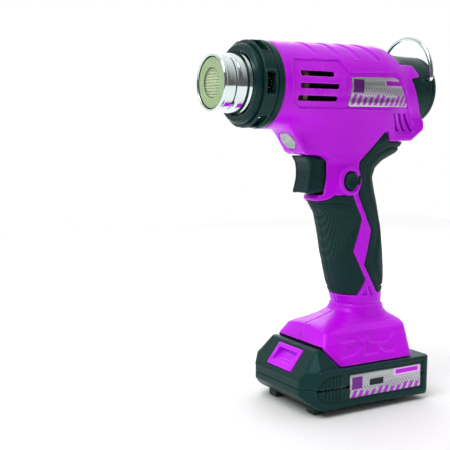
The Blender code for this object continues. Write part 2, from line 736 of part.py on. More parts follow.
def light_window(name, grow=0.0, low=-4.0, high=4.0, look=None):
    """The hexagonal outline of the work light, raised along the chin's normal."""
    w, h = 7.4 + grow, 6.2 + grow
    outline = ((-w, -1.6), (-w + 3.2, -h), (w - 3.2, -h), (w, -1.6), (w, 1.6), (w - 3.6, h),
               (-w + 3.6, h), (-w, 1.6))
    made = plate(name, outline, low, high, "Z", look)
    made.data.transform(light_frame())
    return made


def build_light():
    """The lens in the chin and the board that carries its lamp."""
    light_window("light_lens", 0.0, -2.0, 0.5, LENS)
    board = box("light_board", (-5.6, -3.6, -4.4), (5.6, 3.6, -3.0), BOARD)
    board.data.transform(light_frame())


def build_boards():
    """The control board in the handle and the terminal block over the battery."""
    box("control_board", (-6.6, 19.4, 88.0), (-5.0, 41.0, 128.0), BOARD)
    block = box("terminal_block", (-17.0, 26.0, 45.4), (17.0, 50.0, 52.4), BLACK)
    for i in range(3):
        x = -12.0 + 12.0 * i
        blade = box(f"terminal_blade_{i}", (x - 0.5, 30.0, 37.0), (x + 0.5, 46.0, 46.0))
        cut(block, blade, operation="UNION")


def label_shape(name, side, grow=0.0, look=None):
    """The plate on the barrel's side, cut from a thin skin of the barrel."""
    g = grow
    skin = barrel_skin(name, 0.2 if look else 0.6, 0.8 + g, look)
    outline = ((4.6 - g, 223.6 + g), (47.0 + g, 224.6 + g), (58.6 + g, 204.6 - g),
               (2.0 - g, 203.4 - g))
    reach = 50.0 * sign_of(side)
    start = 10.0 * sign_of(side)
    region = plate(name + "_region", outline, min(start, reach), max(start, reach), "X")
    return cut(skin, region, operation="INTERSECT")


def barrel_skin(name, proud, depth, look):
    """A thin tube around the barrel's surface: proud outside it, depth below it."""
    line = [(y, radius) for y, radius in barrel_outline() if y > -30.0]
    outer = [(y, radius + proud) for y, radius in line]
    inner = [(y, radius - depth) for y, radius in reversed(line)]
    return turned(name, outer + inner, look, steps=32)


def build_labels():
    """The side plates of the barrel."""
    for side in ("left", "right"):
        label_shape(f"side_plate_{side}", side, 0.0, LABEL)


# -------------------------------------------------------- battery pack

def pack_plan(inset=0.0, front_shift=0.0):
    """Plan view of the battery case, as (x, y) points."""
    i = inset
    half, front, rear = PACK_HALF_WIDTH - i, PACK_FRONT + i + front_shift, PACK_REAR - i
    nose, corner = PACK_FRONT_HALF - i * 0.4, PACK_CORNER
    right = [(nose, front), (half, front + corner), (half, rear - 3.0), (half - 2.4, rear)]
    return right + [(-x, y) for x, y in reversed(right)]


def bottom_height(y):
    """Height of the sloping underside at a given y."""
    share = (y - PACK_FRONT) / (PACK_REAR - PACK_FRONT)
    return PACK_BOTTOM_FRONT + (PACK_BOTTOM_REAR - PACK_BOTTOM_FRONT) * share


def build_lower_case():
    """The battery's lower tray."""
    case = plate("battery_lower_case", pack_plan(), 3.0, PACK_SPLIT, "Z", BLACK)
    for vertex in case.data.vertices:
        if vertex.co.z < 0.010:
            vertex.co.z = bottom_height(vertex.co.y / MM) * MM
    cut(case, box("rear_rib_low", (-30.0, 70.0, 12.4), (30.0, 77.6, PACK_SPLIT)),
        operation="UNION")
    cut(case, front_chamfer("tray_chamfer", 0.0))
    hollow = plate("tray_hollow", pack_plan(PACK_WALL, 1.5), 8.2, 25.0, "Z")
    cut(hollow, front_chamfer("hollow_chamfer", PACK_WALL))
    cut(case, hollow)
    cut(case, *side_plate_seats("tray"))


def front_chamfer(name, inset):
    """Wedge that cuts the underside's front edge away, or the same cut further in."""
    top, low = (PACK_FRONT, 14.5), (PACK_FRONT + 10.7, 5.6)
    run, fall = low[0] - top[0], top[1] - low[1]
    size = math.hypot(run, fall)
    shift = (inset * fall / size, inset * run / size)
    start = (top[0] - run + shift[0], top[1] + fall + shift[1])
    end = (low[0] + run + shift[0], low[1] - fall + shift[1])
    outline = (start, end, (end[0], end[1] - 5.0), (start[0] - 5.0, end[1] - 5.0),
               (start[0] - 5.0, start[1]))
    return plate(name, outline, -50.0, 50.0, "X")


def side_plate_seats(tag):
    """Recesses for the plates on the battery's sides."""
    seats = []
    for side in ("left", "right"):
        s = sign_of(side)
        inner, outer = s * (PACK_HALF_WIDTH - 1.2), s * 50.0
        seats.append(box(f"{tag}_seat_{side}", (min(inner, outer), -13.0, 8.6),
                         (max(inner, outer), 68.6, 28.6)))
    return seats


def build_upper_case():
    """The battery's upper shell: walls, nose and sliding rails."""
    case = plate("battery_upper_case", pack_plan(), PACK_SPLIT + GAP, PACK_DECK, "Z", BLACK)
    rib = box("rear_rib_high", (-30.0, 70.0, PACK_SPLIT + GAP), (30.0, 77.6, 27.2))
    cut(case, nose_solid(), *rail_solids(), rib, operation="UNION")
    cut(case, plate("lid_hollow", pack_plan(PACK_WALL, 1.5), 10.0, 29.0, "Z"))
    for i in range(3):
        x = -12.0 + 12.0 * i
        cut(case, box(f"blade_slot_{i}", (x - 1.0, 24.0, 35.0), (x + 1.0, 70.0, 50.0)))
    cut(case, latch_box("latch_pocket", 0.35, -9.0, 4.0))
    cut(case, *side_plate_seats("lid"))
    cut(case, front_slope_cutter())


def front_slope_cutter():
    """Trims the case to the slope above the front edge."""
    outline = ((PACK_FRONT - 20.0, NOSE_EDGE_Z), (PACK_FRONT, NOSE_EDGE_Z),
               (NOSE_RIDGE - 0.4, NOSE_TOP), (NOSE_RIDGE - 0.4, 60.0), (PACK_FRONT - 20.0, 60.0))
    return plate("front_slope", outline, -50.0, 50.0, "X")


def nose_solid():
    """The wedge in front of the handle's foot that holds the latch."""
    low, wide = 24.0, PACK_HALF_WIDTH - 0.05
    base = [(PACK_FRONT_HALF, PACK_FRONT + 0.05), (wide, PACK_FRONT + PACK_CORNER),
            (wide - 1.0, -3.6)]
    top = [(NOSE_HALF_TOP, NOSE_RIDGE - 0.7), (NOSE_HALF_TOP + 0.8, NOSE_RIDGE + 1.0),
           (NOSE_HALF_TOP + 0.8, NOSE_BACK)]
    rings = []
    for points, z in ((base, low), (base, PACK_DECK - 0.6), (top, NOSE_TOP)):
        ring = [(x, y, z) for x, y in points]
        ring += [(-x, y, z) for x, y in reversed(points)]
        rings.append(ring)
    return loft("nose", rings)


def rail_solids():
    """The T-shaped rail block on top of the battery: a stem and a wider head."""
    return [box("rail_stem", (-21.0, -10.0, 30.5), (21.0, 57.0, 42.0)),
            box("rail_head", (-24.6, -10.1, 39.5), (24.6, 56.9, 43.4))]


def latch_frame():
    """Place of the latch: local Z points out of the battery's front slope."""
    along = Vector((0.0, NOSE_RIDGE - PACK_FRONT, NOSE_TOP - NOSE_EDGE_Z)).normalized()
    across = Vector((1.0, 0.0, 0.0))
    out = across.cross(along)
    middle = Vector((0.0, (NOSE_RIDGE + PACK_FRONT) / 2, (NOSE_TOP + NOSE_EDGE_Z) / 2))
    turn = Matrix((across, along, out)).transposed().to_4x4()
    return Matrix.Translation(middle * MM) @ turn


def latch_box(name, grow, low, high, look=None):
    """A box aligned with the front slope, as wide and long as the latch button."""
    made = box(name, (-14.0 - grow, -8.6 - grow, low), (14.0 + grow, 8.6 + grow, high), look)
    made.data.transform(latch_frame())
    return made


def build_latch():
    """The battery release button with its finger scoop, and its spring."""
    button = latch_box("battery_latch", 0.0, -4.2, 0.6, PINK)
    bevel(button, 0.6, 1, 60.0)
    scoop = plate("latch_scoop", ((-9.0, 3.0), (-7.6, -1.2), (3.0, -2.6), (6.6, 3.0)), -11.5, 11.5,
                  "X")
    scoop.data.transform(latch_frame())
    cut(button, scoop)
    points = coil_points((0.0, 0.0, -8.2), (0.0, 0.0, -4.8), 3.4, 3, 8)
    spring = wire("latch_spring", points, 0.35, STEEL, 1)
    spring.data.transform(latch_frame())


def build_cells():
    """Five equal cells side by side, and the strips that join them."""
    for i in range(CELL_COUNT):
        y = CELL_FIRST_Y + CELL_PITCH * i
        cell = rod(f"cell_{i + 1}", (-CELL_LENGTH / 2, y, CELL_Z), (CELL_LENGTH / 2, y, CELL_Z),
                   CELL_RADIUS - 0.15, CELL_WRAP, sides=24)
        bevel(cell, 0.8, 1, 60.0)
    first = CELL_FIRST_Y - 3.0
    last = CELL_FIRST_Y + CELL_PITCH * (CELL_COUNT - 1) + 3.0
    for side in ("left", "right"):
        s = sign_of(side)
        inner, outer = s * (CELL_LENGTH / 2 + 0.3), s * (CELL_LENGTH / 2 + 0.7)
        box(f"cell_strip_{side}", (min(inner, outer), first, CELL_Z - 3.0),
            (max(inner, outer), last, CELL_Z + 3.0), STEEL)
    box("battery_board", (-20.0, -12.0, 27.1), (20.0, 56.0, 28.6), BOARD)


def build_pack_plates():
    """The plates on the battery's two sides."""
    for side in ("left", "right"):
        s = sign_of(side)
        inner, outer = s * (PACK_HALF_WIDTH - 0.9), s * (PACK_HALF_WIDTH - 0.2)
        made = box(f"battery_plate_{side}", (min(inner, outer), -12.4, 9.2),
                   (max(inner, outer), 68.0, 28.0), BLACK)
        bevel(made, 0.2)


def build_feet():
    """Rubber feet under the battery, two in front and two at the rear."""
    for end, x, y, half in (("front", 22.4, -15.0, 4.6), ("rear", 13.0, 62.0, 3.6)):
        for side in ("left", "right"):
            at = x * sign_of(side)
            top = bottom_height(y + half) - GAP
            foot = box(f"battery_foot_{end}_{side}", (at - half, y - half, 0.0),
                       (at + half, y + half, top), RUBBER)
            bevel(foot, 0.8, 1, 60.0)


# ----------------------------------------------------------------- main

def main():
    """Build every part of the heat gun."""
    build_nozzle()
    build_outlet()
    build_heater()
    build_collar()
    build_keepouts()
    build_housing()
    build_grips()
    build_screws()
    build_rear_cap()
    build_hook()
    build_fan()
    build_motor()
    build_trigger()
    build_lock_button()
    build_light()
    build_boards()
    build_labels()
    build_lower_case()
    build_upper_case()
    build_latch()
    build_cells()
    build_pack_plates()
    build_feet()


clear_scene()
PARTS = make_collection("heat_gun")
CUTTERS = make_collection("cutters", hidden=True)
main()
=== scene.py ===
"""Looks of the cordless heat gun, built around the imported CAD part.

Lengths are in millimetres until a mesh is made, and MM turns them into metres.
The moulded pieces are sampled as signed distances on a grid and skinned, so that
their walls, grooves and fillets are real shapes with rounded edges.
"""

import json
import math

import bmesh
import bpy
import numpy as np
from mathutils import Matrix, Vector


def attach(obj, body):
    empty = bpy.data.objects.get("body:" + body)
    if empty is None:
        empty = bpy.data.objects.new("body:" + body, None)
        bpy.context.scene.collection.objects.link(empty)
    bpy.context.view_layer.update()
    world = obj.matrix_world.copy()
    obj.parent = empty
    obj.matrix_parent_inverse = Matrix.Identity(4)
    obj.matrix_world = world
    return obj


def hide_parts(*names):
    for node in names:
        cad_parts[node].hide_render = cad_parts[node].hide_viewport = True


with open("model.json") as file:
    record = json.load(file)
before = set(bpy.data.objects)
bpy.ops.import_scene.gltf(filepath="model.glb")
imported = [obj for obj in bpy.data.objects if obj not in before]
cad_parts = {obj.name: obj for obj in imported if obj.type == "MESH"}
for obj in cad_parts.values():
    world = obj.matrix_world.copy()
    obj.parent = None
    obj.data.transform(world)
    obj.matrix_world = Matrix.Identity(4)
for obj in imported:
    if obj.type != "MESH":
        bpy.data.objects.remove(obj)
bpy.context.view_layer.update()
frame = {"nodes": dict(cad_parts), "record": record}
NODES = frame["nodes"]
MM = 0.001
STEP = 0.52         # grid pitch of the large mouldings
FINE = 0.42         # grid pitch of the small mouldings

AXIS_Z = 217.2


# ------------------------------------------------------------- distance fields

class Space:
    """A box of evenly spaced sample points."""

    def __init__(self, low, high, step):
        self.low = np.array(low, np.float64)
        self.step = step
        axes = []
        for a, b in zip(low, high):
            count = int(math.ceil((b - a) / step)) + 1
            axes.append((a + step * np.arange(count)).astype(np.float32))
        self.x = axes[0][:, None, None]
        self.y = axes[1][None, :, None]
        self.z = axes[2][None, None, :]
        self.shape = tuple(len(a) for a in axes)


def join(a, b, k=0.0):
    """Union with a fillet of about k."""
    if k <= 0.0:
        return np.minimum(a, b)
    h = np.maximum(k - np.abs(a - b), 0.0) / k
    return np.minimum(a, b) - h * h * (k * 0.25)


def meet(a, b, k=0.0):
    """Intersection with a rounded edge of about k."""
    return -join(-a, -b, k)


def take(a, b, k=0.0):
    """a without b, with a rounded edge of about k."""
    return -join(-a, b, k)


def even(field, step):
    """Scale a field so that its values near zero are distances."""
    gx, gy, gz = np.gradient(field, step)
    gx *= gx
    gy *= gy
    gx += gy
    gz *= gz
    gx += gz
    np.sqrt(gx, out=gx)
    np.maximum(gx, 0.02, out=gx)
    return field / gx


def flat_distance(u, v, points, blur=0):
    """Signed distance to a flat polygon, negative inside; blur rounds its corners."""
    points = [(float(a), float(b)) for a, b in points]
    best = None
    odd = None
    for (au, av), (bu, bv) in zip(points, points[1:] + points[:1]):
        eu, ev = bu - au, bv - av
        wu, wv = u - au, v - av
        t = np.clip((wu * eu + wv * ev) / (eu * eu + ev * ev), 0.0, 1.0)
        d = (wu - t * eu) ** 2 + (wv - t * ev) ** 2
        best = d if best is None else np.minimum(best, d)
        above, below, left = v >= av, v < bv, eu * wv > ev * wu
        flip = (above & below & left) | (~above & ~below & ~left)
        odd = flip if odd is None else odd ^ flip
    field = np.where(odd, -1.0, 1.0) * np.sqrt(best)
    for _ in range(blur):
        field = soften(field)
    return field.astype(np.float32)


def soften(field):
    """One pass of a small blur along each axis that is longer than one sample."""
    for axis in range(field.ndim):
        if field.shape[axis] > 2:
            pad = [(0, 0)] * field.ndim
            pad[axis] = (1, 1)
            wide = np.pad(field, pad, mode="edge")
            cut = [slice(None)] * field.ndim
            cut[axis] = slice(0, -2)
            before = wide[tuple(cut)]
            cut[axis] = slice(2, None)
            after = wide[tuple(cut)]
            field = 0.5 * field + 0.25 * (before + after)
    return field


def fade(line, width):
    """One inside a line, nothing outside it, and a ramp of that width between."""
    return np.clip(0.5 - line / width, 0.0, 1.0)


def rounded(u, v, radius):
    """Distance to a corner of that radius, from the distances to its two sides."""
    u, v = u + radius, v + radius
    outside = np.sqrt(np.maximum(u, 0.0) ** 2 + np.maximum(v, 0.0) ** 2)
    return outside + np.minimum(np.maximum(u, v), 0.0) - radius


def about_axis(space):
    """Radius and angle in degrees about the barrel axis."""
    rise = space.z - AXIS_Z
    return np.sqrt(space.x ** 2 + rise ** 2), np.degrees(np.arctan2(rise, space.x))


def box_field(space, low, high, radius=0.0):
    """A box with rounded edges."""
    parts = []
    for axis, a, b in zip((space.x, space.y, space.z), low, high):
        parts.append(np.abs(axis - (a + b) / 2) - (b - a) / 2 + radius)
    outside = sum(np.maximum(p, 0.0) ** 2 for p in parts)
    deepest = np.maximum(np.maximum(parts[0], parts[1]), parts[2])
    return np.sqrt(outside) + np.minimum(deepest, 0.0) - radius


def curve_through(rows, column, at, width=1.5):
    """A column of a section table against its first column, with its corners eased."""
    grid = np.arange(rows[0][0] - 8.0, rows[-1][0] + 8.0, 0.25)
    values = np.interp(grid, [r[0] for r in rows], [r[column] for r in rows])
    reach = int(width * 12)
    bell = np.exp(-0.5 * (np.arange(-reach, reach + 1) * 0.25 / width) ** 2)
    values = np.convolve(np.pad(values, reach, mode="edge"), bell / bell.sum(), mode="valid")
    return np.interp(at, grid, values).astype(np.float32)


def stack_field(space, rows, ease=1.5):
    """A body given by level sections (height, front, rear, half width, power)."""
    front = curve_through(rows, 1, space.z, ease)
    rear = curve_through(rows, 2, space.z, ease)
    wide = curve_through(rows, 3, space.z, ease)
    power = curve_through(rows, 4, space.z, ease)
    u = np.abs(space.x) / wide
    v = np.abs(space.y - (front + rear) / 2) / ((rear - front) / 2)
    field = (np.maximum(u, 1e-3) ** power + np.maximum(v, 1e-3) ** power) ** (1.0 / power) - 1.0
    return even(field.astype(np.float32), space.step)


def sample(space, field, points):
    """Read a field at points between its samples."""
    place = (points - space.low) / space.step
    top = np.array(space.shape) - 1.001
    place = np.clip(place, 0.0, top)
    base = place.astype(np.int64)
    part = place - base
    total = np.zeros(len(points))
    for i in (0, 1):
        for j in (0, 1):
            for k in (0, 1):
                weight = (part[:, 0] if i else 1 - part[:, 0])
                weight = weight * (part[:, 1] if j else 1 - part[:, 1])
                weight = weight * (part[:, 2] if k else 1 - part[:, 2])
                total += weight * field[base[:, 0] + i, base[:, 1] + j, base[:, 2] + k]
    return total


def gradient_at(space, field, points, reach):
    """Slope of a field at points, by differences over a short reach."""
    slope = np.zeros_like(points)
    for axis in range(3):
        shift = np.zeros(3)
        shift[axis] = reach
        slope[:, axis] = (sample(space, field, points + shift)
                          - sample(space, field, points - shift)) / (2 * reach)
    return slope


def skin(space, field):
    """Points and quads of the surface where a field is zero."""
    field = field.copy()
    for axis in range(3):
        edge = [slice(None)] * 3
        for end in (0, -1):
            edge[axis] = end
            field[tuple(edge)] = np.maximum(field[tuple(edge)], 0.05)
    inside = field < 0
    corners = np.array([(i, j, k) for i in (0, 1) for j in (0, 1) for k in (0, 1)])
    shape = field.shape
    count = np.zeros(tuple(n - 1 for n in shape), np.uint8)
    for i, j, k in corners:
        count += inside[i:shape[0] - 1 + i, j:shape[1] - 1 + j, k:shape[2] - 1 + k]
    active = (count > 0) & (count < 8)
    cells = np.argwhere(active)
    ids = np.full(active.shape, -1, np.int64)
    ids[active] = np.arange(len(cells))
    values = [field[cells[:, 0] + i, cells[:, 1] + j, cells[:, 2] + k] for i, j, k in corners]
    total = np.zeros((len(cells), 3))
    hits = np.zeros(len(cells))
    for a in range(8):
        for b in range(a + 1, 8):
            if np.abs(corners[a] - corners[b]).sum() == 1:
                cross = (values[a] < 0) != (values[b] < 0)
                share = values[a][cross] / (values[a][cross] - values[b][cross])
                total[cross] += corners[a] + share[:, None] * (corners[b] - corners[a])
                hits[cross] += 1
    points = (cells + total / hits[:, None]) * space.step + space.low
    quads = []
    for axis in range(3):
        u, v = (axis + 1) % 3, (axis + 2) % 3
        lower = [slice(None)] * 3
        upper = [slice(None)] * 3
        lower[axis] = slice(0, -1)
        upper[axis] = slice(1, None)
        at = np.argwhere(inside[tuple(lower)] != inside[tuple(upper)])
        keep = (at[:, u] > 0) & (at[:, v] > 0)
        keep &= (at[:, u] < shape[u] - 1) & (at[:, v] < shape[v] - 1)
        at = at[keep]
        faces = []
        for du, dv in ((1, 1), (0, 1), (0, 0), (1, 0)):
            cell = at.copy()
            cell[:, u] -= du
            cell[:, v] -= dv
            faces.append(ids[cell[:, 0], cell[:, 1], cell[:, 2]])
        faces = np.stack(faces, 1)
        forward = inside[at[:, 0], at[:, 1], at[:, 2]]
        faces[~forward] = faces[~forward][:, ::-1]
        quads.append(faces)
    return points, np.concatenate(quads)


def moulding(name, space, field, look, body, replaced=(), mirror=False, marks=None, settle=3):
    """Make a piece from a field. marks are extra values (name, field) kept at its points."""
    points, quads = skin(space, field)
    for _ in range(settle):
        slope = gradient_at(space, field, points, space.step * 0.5)
        size = np.maximum((slope ** 2).sum(1), 0.05)
        move = -(sample(space, field, points) / size)[:, None] * slope
        limit = space.step * 0.3
        length = np.maximum(np.linalg.norm(move, axis=1), 1e-9)[:, None]
        points = points + move * np.minimum(1.0, limit / length)
    reach = 1.1
    around = np.zeros(len(points))
    for axis in range(3):
        shift = np.zeros(3)
        shift[axis] = reach
        around += sample(space, field, points + shift) + sample(space, field, points - shift)
    bend = np.clip(around / 6.0 / reach * 2.0, -1.0, 1.0)
    layers = {"bend": bend}
    for mark, values in (marks or {}).items():
        layers[mark] = sample(space, np.broadcast_to(values, space.shape), points)
    if mirror:
        points = points * np.array((-1.0, 1.0, 1.0))
        quads = quads[:, ::-1]
    return mesh_piece(name, points * MM, quads, look, body, replaced, layers)


def mirrored_pair(piece, space, field, look, node, marks=None):
    """The same piece on both sides; piece and node hold a place for the side's name."""
    body = "battery" if node.startswith("battery") else "housing"
    for side in ("left", "right"):
        moulding(piece.format(side), space, field, look, body, (node.format(side),),
                 mirror=side == "right", marks=marks)


def mesh_piece(name, points, quads, look, body, replaced=(), layers=None):
    """A mesh object from arrays of points (metres) and quads, riding on a body."""
    mesh = bpy.data.meshes.new(name)
    mesh.vertices.add(len(points))
    mesh.vertices.foreach_set("co", np.asarray(points, np.float32).ravel())
    mesh.loops.add(quads.size)
    mesh.loops.foreach_set("vertex_index", quads.astype(np.int32).ravel())
    mesh.polygons.add(len(quads))
    mesh.polygons.foreach_set("loop_start", np.arange(0, quads.size, 4, dtype=np.int32))
    mesh.update(calc_edges=True)
    mesh.validate()
    mesh.shade_smooth()
    for layer, values in (layers or {}).items():
        attribute = mesh.attributes.new(layer, "FLOAT", "POINT")
        attribute.data.foreach_set("value", np.asarray(values, np.float32))
    return place(name, mesh, look, body, replaced)


def place(name, mesh, look, body, replaced=()):
    """Link a mesh as a piece that rides on a body and stands for CAD nodes."""
    obj = bpy.data.objects.new(name, mesh)
    bpy.context.scene.collection.objects.link(obj)
    mesh.materials.clear()
    mesh.materials.append(look)
    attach(obj, body)
    if replaced:
        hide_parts(*replaced)
    return obj


# ------------------------------------------------------------------ materials

class Look:
    """A Principled material, and short ways to add nodes to it."""

    def __init__(self, name, colour, rough, metallic=0.0, coat=0.0, specular=0.5):
        self.material = bpy.data.materials.new(name)
        self.material.use_nodes = True
        self.tree = self.material.node_tree
        self.shader = self.tree.nodes["Principled BSDF"]
        self.set("Base Color", (*colour, 1.0))
        self.set("Roughness", rough)
        self.set("Metallic", metallic)
        self.set("Coat Weight", coat)
        self.set("Specular IOR Level", specular)
        self.coords = self.node("ShaderNodeTexCoord").outputs["Object"]

    def set(self, socket, value):
        self.shader.inputs[socket].default_value = value

    def node(self, kind, **settings):
        made = self.tree.nodes.new(kind)
        for key, value in settings.items():
            setattr(made, key, value)
        return made

    def feed(self, socket, value):
        """Put a number or another node's output into a socket."""
        if isinstance(value, (int, float, tuple)):
            socket.default_value = value
        else:
            self.tree.links.new(value, socket)

    def math(self, operation, *values):
        made = self.node("ShaderNodeMath", operation=operation)
        for socket, value in zip(made.inputs, values):
            self.feed(socket, value)
        return made.outputs[0]

    def times(self, first, second):
        return self.math("MULTIPLY", first, second)

    def between(self, value, low, high):
        """One where a value lies between two others, else nothing."""
        return self.times(self.math("GREATER_THAN", value, low),
                          self.math("LESS_THAN", value, high))

    def noise(self, scale, detail=2.0, stretch=None):
        made = self.node("ShaderNodeTexNoise")
        made.inputs["Scale"].default_value = scale
        made.inputs["Detail"].default_value = detail
        vector = self.coords
        if stretch:
            mapping = self.node("ShaderNodeMapping")
            mapping.inputs["Scale"].default_value = stretch
            self.feed(mapping.inputs["Vector"], self.coords)
            vector = mapping.outputs["Vector"]
        self.feed(made.inputs["Vector"], vector)
        return made.outputs["Fac"]

    def attribute(self, name):
        return self.node("ShaderNodeAttribute", attribute_name=name).outputs["Fac"]

    def axes(self):
        split = self.node("ShaderNodeSeparateXYZ")
        self.feed(split.inputs[0], self.coords)
        return split.outputs

    def span(self, value, low, high, out_low, out_high):
        made = self.node("ShaderNodeMapRange")
        for socket, given in zip(made.inputs, (value, low, high, out_low, out_high)):
            self.feed(socket, given)
        return made.outputs[0]

    def blend(self, share, first, second):
        made = self.node("ShaderNodeMix", data_type="RGBA")
        self.feed(made.inputs["Factor"], share)
        colours = [s for s in made.inputs if s.type == "RGBA"]
        for socket, colour in zip(colours, (first, second)):
            self.feed(socket, (*colour, 1.0) if isinstance(colour, tuple) else colour)
        return [s for s in made.outputs if s.type == "RGBA"][0]

    def bump(self, height, distance):
        made = self.node("ShaderNodeBump")
        made.inputs["Distance"].default_value = distance
        made.inputs["Strength"].default_value = 1.0
        self.feed(made.inputs["Height"], height)
        self.feed(self.shader.inputs["Normal"], made.outputs["Normal"])

    def paint(self, colour):
        self.feed(self.shader.inputs["Base Color"], colour)

    def roughen(self, value):
        self.feed(self.shader.inputs["Roughness"], value)


def moulded(name, colour, rough, light, grain, coat=0.0, wear_highlight_strength=0.0, specular=0.5, sheen=(1, 1, 1)):
    """Moulded plastic: fine grain, cloudy gloss, and convex edges painted lighter, partly as wear
    from handling and partly as a painted edge highlight.
    """
    look = Look(name, colour, rough, coat=coat, specular=specular)
    look.set("Specular Tint", (*sheen, 1.0))
    cloud = look.noise(26.0, 4.0)
    fine = look.noise(1500.0, 2.0)
    scuff = look.noise(160.0, 5.0, (1.0, 2.4, 1.0))
    # Convex edges are painted towards the light colour: partly wear, partly a painted highlight where
    # edges catch light.
    edge = look.span(look.attribute("bend"), 0.10, 0.55, 0.0, 1.0)
    edge_wear_and_highlight = look.times(edge, look.span(scuff, 0.42, 0.62, 0.25, 1.0))
    deep = tuple(c * 0.86 for c in colour)
    tone = look.blend(look.span(cloud, 0.3, 0.7, 0.0, 1.0), deep, colour)
    look.paint(look.blend(look.times(edge_wear_and_highlight, wear_highlight_strength), tone, light))
    gloss = look.span(scuff, 0.3, 0.7, rough - 0.05, rough + 0.07)
    look.roughen(look.math("ADD", gloss, look.times(edge_wear_and_highlight, 0.06)))
    look.bump(fine, grain)
    return look


# The fourth argument is the edge colour: partly wear, partly a painted edge highlight.
PINK = moulded("pink_plastic", (0.66, 0.002, 0.98), 0.34, (0.80, 0.12, 1.0), 0.000016,
               wear_highlight_strength=0.55, coat=0.08, specular=0.30, sheen=(1.0, 0.45, 1.0))
BLACK = moulded("black_plastic", (0.006, 0.030, 0.029), 0.31, (0.035, 0.085, 0.08), 0.000022,
                wear_highlight_strength=0.6, specular=0.22, sheen=(0.45, 1.0, 0.98))
CASE = moulded("battery_plastic", (0.006, 0.030, 0.029), 0.40, (0.03, 0.07, 0.066), 0.00004,
               wear_highlight_strength=0.6, specular=0.22, sheen=(0.45, 1.0, 0.98))


WEAVE_ACROSS = 2200.0       # waves of the grips' weave, in radians per metre
WEAVE_ALONG = 2600.0


def grip_look():
    """Soft rubber with a woven texture where the mark called knurl is set."""
    look = Look("grip_rubber", (0.010, 0.034, 0.032), 0.58, specular=0.18)
    look.set("Specular Tint", (0.45, 1.0, 0.98, 1.0))
    _, y, z = look.axes()
    across, along = look.times(y, WEAVE_ACROSS), look.times(z, WEAVE_ALONG)
    up = look.math("ADD", across, along)
    down = look.math("SUBTRACT", across, along)
    weave = look.times(look.math("SINE", up), look.math("SINE", down))
    knurl = look.attribute("knurl")
    pattern = look.times(look.span(weave, -0.4, 0.4, 0.0, 1.0), knurl)
    fine = look.noise(1300.0, 3.0)
    height = look.math("ADD", pattern, look.times(fine, 0.25))
    look.bump(height, 0.0006)
    cloud = look.noise(60.0, 4.0)
    tone = look.blend(look.span(cloud, 0.3, 0.7, 0.0, 1.0), (0.008, 0.027, 0.026),
                      (0.012, 0.038, 0.036))
    look.paint(look.blend(look.times(pattern, 0.8), tone, (0.026, 0.078, 0.074)))
    look.roughen(look.span(cloud, 0.3, 0.7, 0.52, 0.66))
    return look


def metal_look(name, colour, rough, streak, depth=0.000004):
    """Metal with fine drawn streaks and faint smears."""
    look = Look(name, colour, rough, 1.0)
    lines = look.noise(900.0, 3.0, streak)
    smear = look.noise(40.0, 4.0)
    look.roughen(look.math("ADD", look.span(lines, 0.3, 0.7, rough * 0.7, rough * 1.4),
                           look.span(smear, 0.45, 0.7, 0.0, 0.06)))
    look.paint(look.blend(look.span(smear, 0.35, 0.7, 0.0, 1.0), colour,
                          tuple(c * 0.9 for c in colour)))
    look.bump(lines, depth)
    return look


def speckled(name, colour, second, rough, scale, depth, specular=0.5):
    """A two-toned mineral or coated surface."""
    look = Look(name, colour, rough, specular=specular)
    spots = look.noise(scale, 5.0)
    look.paint(look.blend(look.span(spots, 0.35, 0.65, 0.0, 1.0), colour, second))
    look.roughen(look.span(spots, 0.3, 0.7, max(rough - 0.06, 0.03), rough + 0.08))
    look.bump(spots, depth)
    return look


RUBBER = grip_look()
CHROME = metal_look("chrome", (0.80, 0.90, 0.89), 0.07, (1.0, 0.06, 1.0), 0.0000015)
STEEL = metal_look("steel", (0.50, 0.53, 0.54), 0.30, (1.0, 0.1, 1.0))
SPRING = metal_look("spring_steel", (0.42, 0.44, 0.45), 0.25, (1.0, 1.0, 1.0))
BRONZE = metal_look("bronze", (0.55, 0.30, 0.14), 0.35, (1.0, 1.0, 1.0))
HEATER = metal_look("heating_wire", (0.20, 0.15, 0.12), 0.45, (1.0, 1.0, 1.0))
CERAMIC = speckled("ceramic", (0.33, 0.47, 0.24), (0.40, 0.53, 0.30), 0.62, 420.0, 0.00003)
COMB = speckled("honeycomb", (0.80, 0.90, 0.66), (0.66, 0.78, 0.52), 0.60, 500.0, 0.00003)
MICA = speckled("mica", (0.12, 0.05, 0.03), (0.17, 0.08, 0.05), 0.5, 180.0, 0.00003)
BOARD = speckled("circuit_board", (0.015, 0.13, 0.05), (0.03, 0.20, 0.08), 0.35, 300.0, 0.00001)
WRAP = speckled("cell_wrap", (0.03, 0.16, 0.36), (0.05, 0.20, 0.42), 0.32, 90.0, 0.00001)
FOOT = speckled("foot_rubber", (0.010, 0.024, 0.023), (0.016, 0.034, 0.032), 0.65, 900.0, 0.00003)
# Near-black painted shade, used as a sheet behind the honeycomb where the hollow lies in shadow.
PAINTED_SHADE = speckled("painted_shade_inside", (0.004, 0.006, 0.006), (0.008, 0.010, 0.010), 0.6, 300.0, 0.00002)


# ------------------------------------------------------------- shared outlines

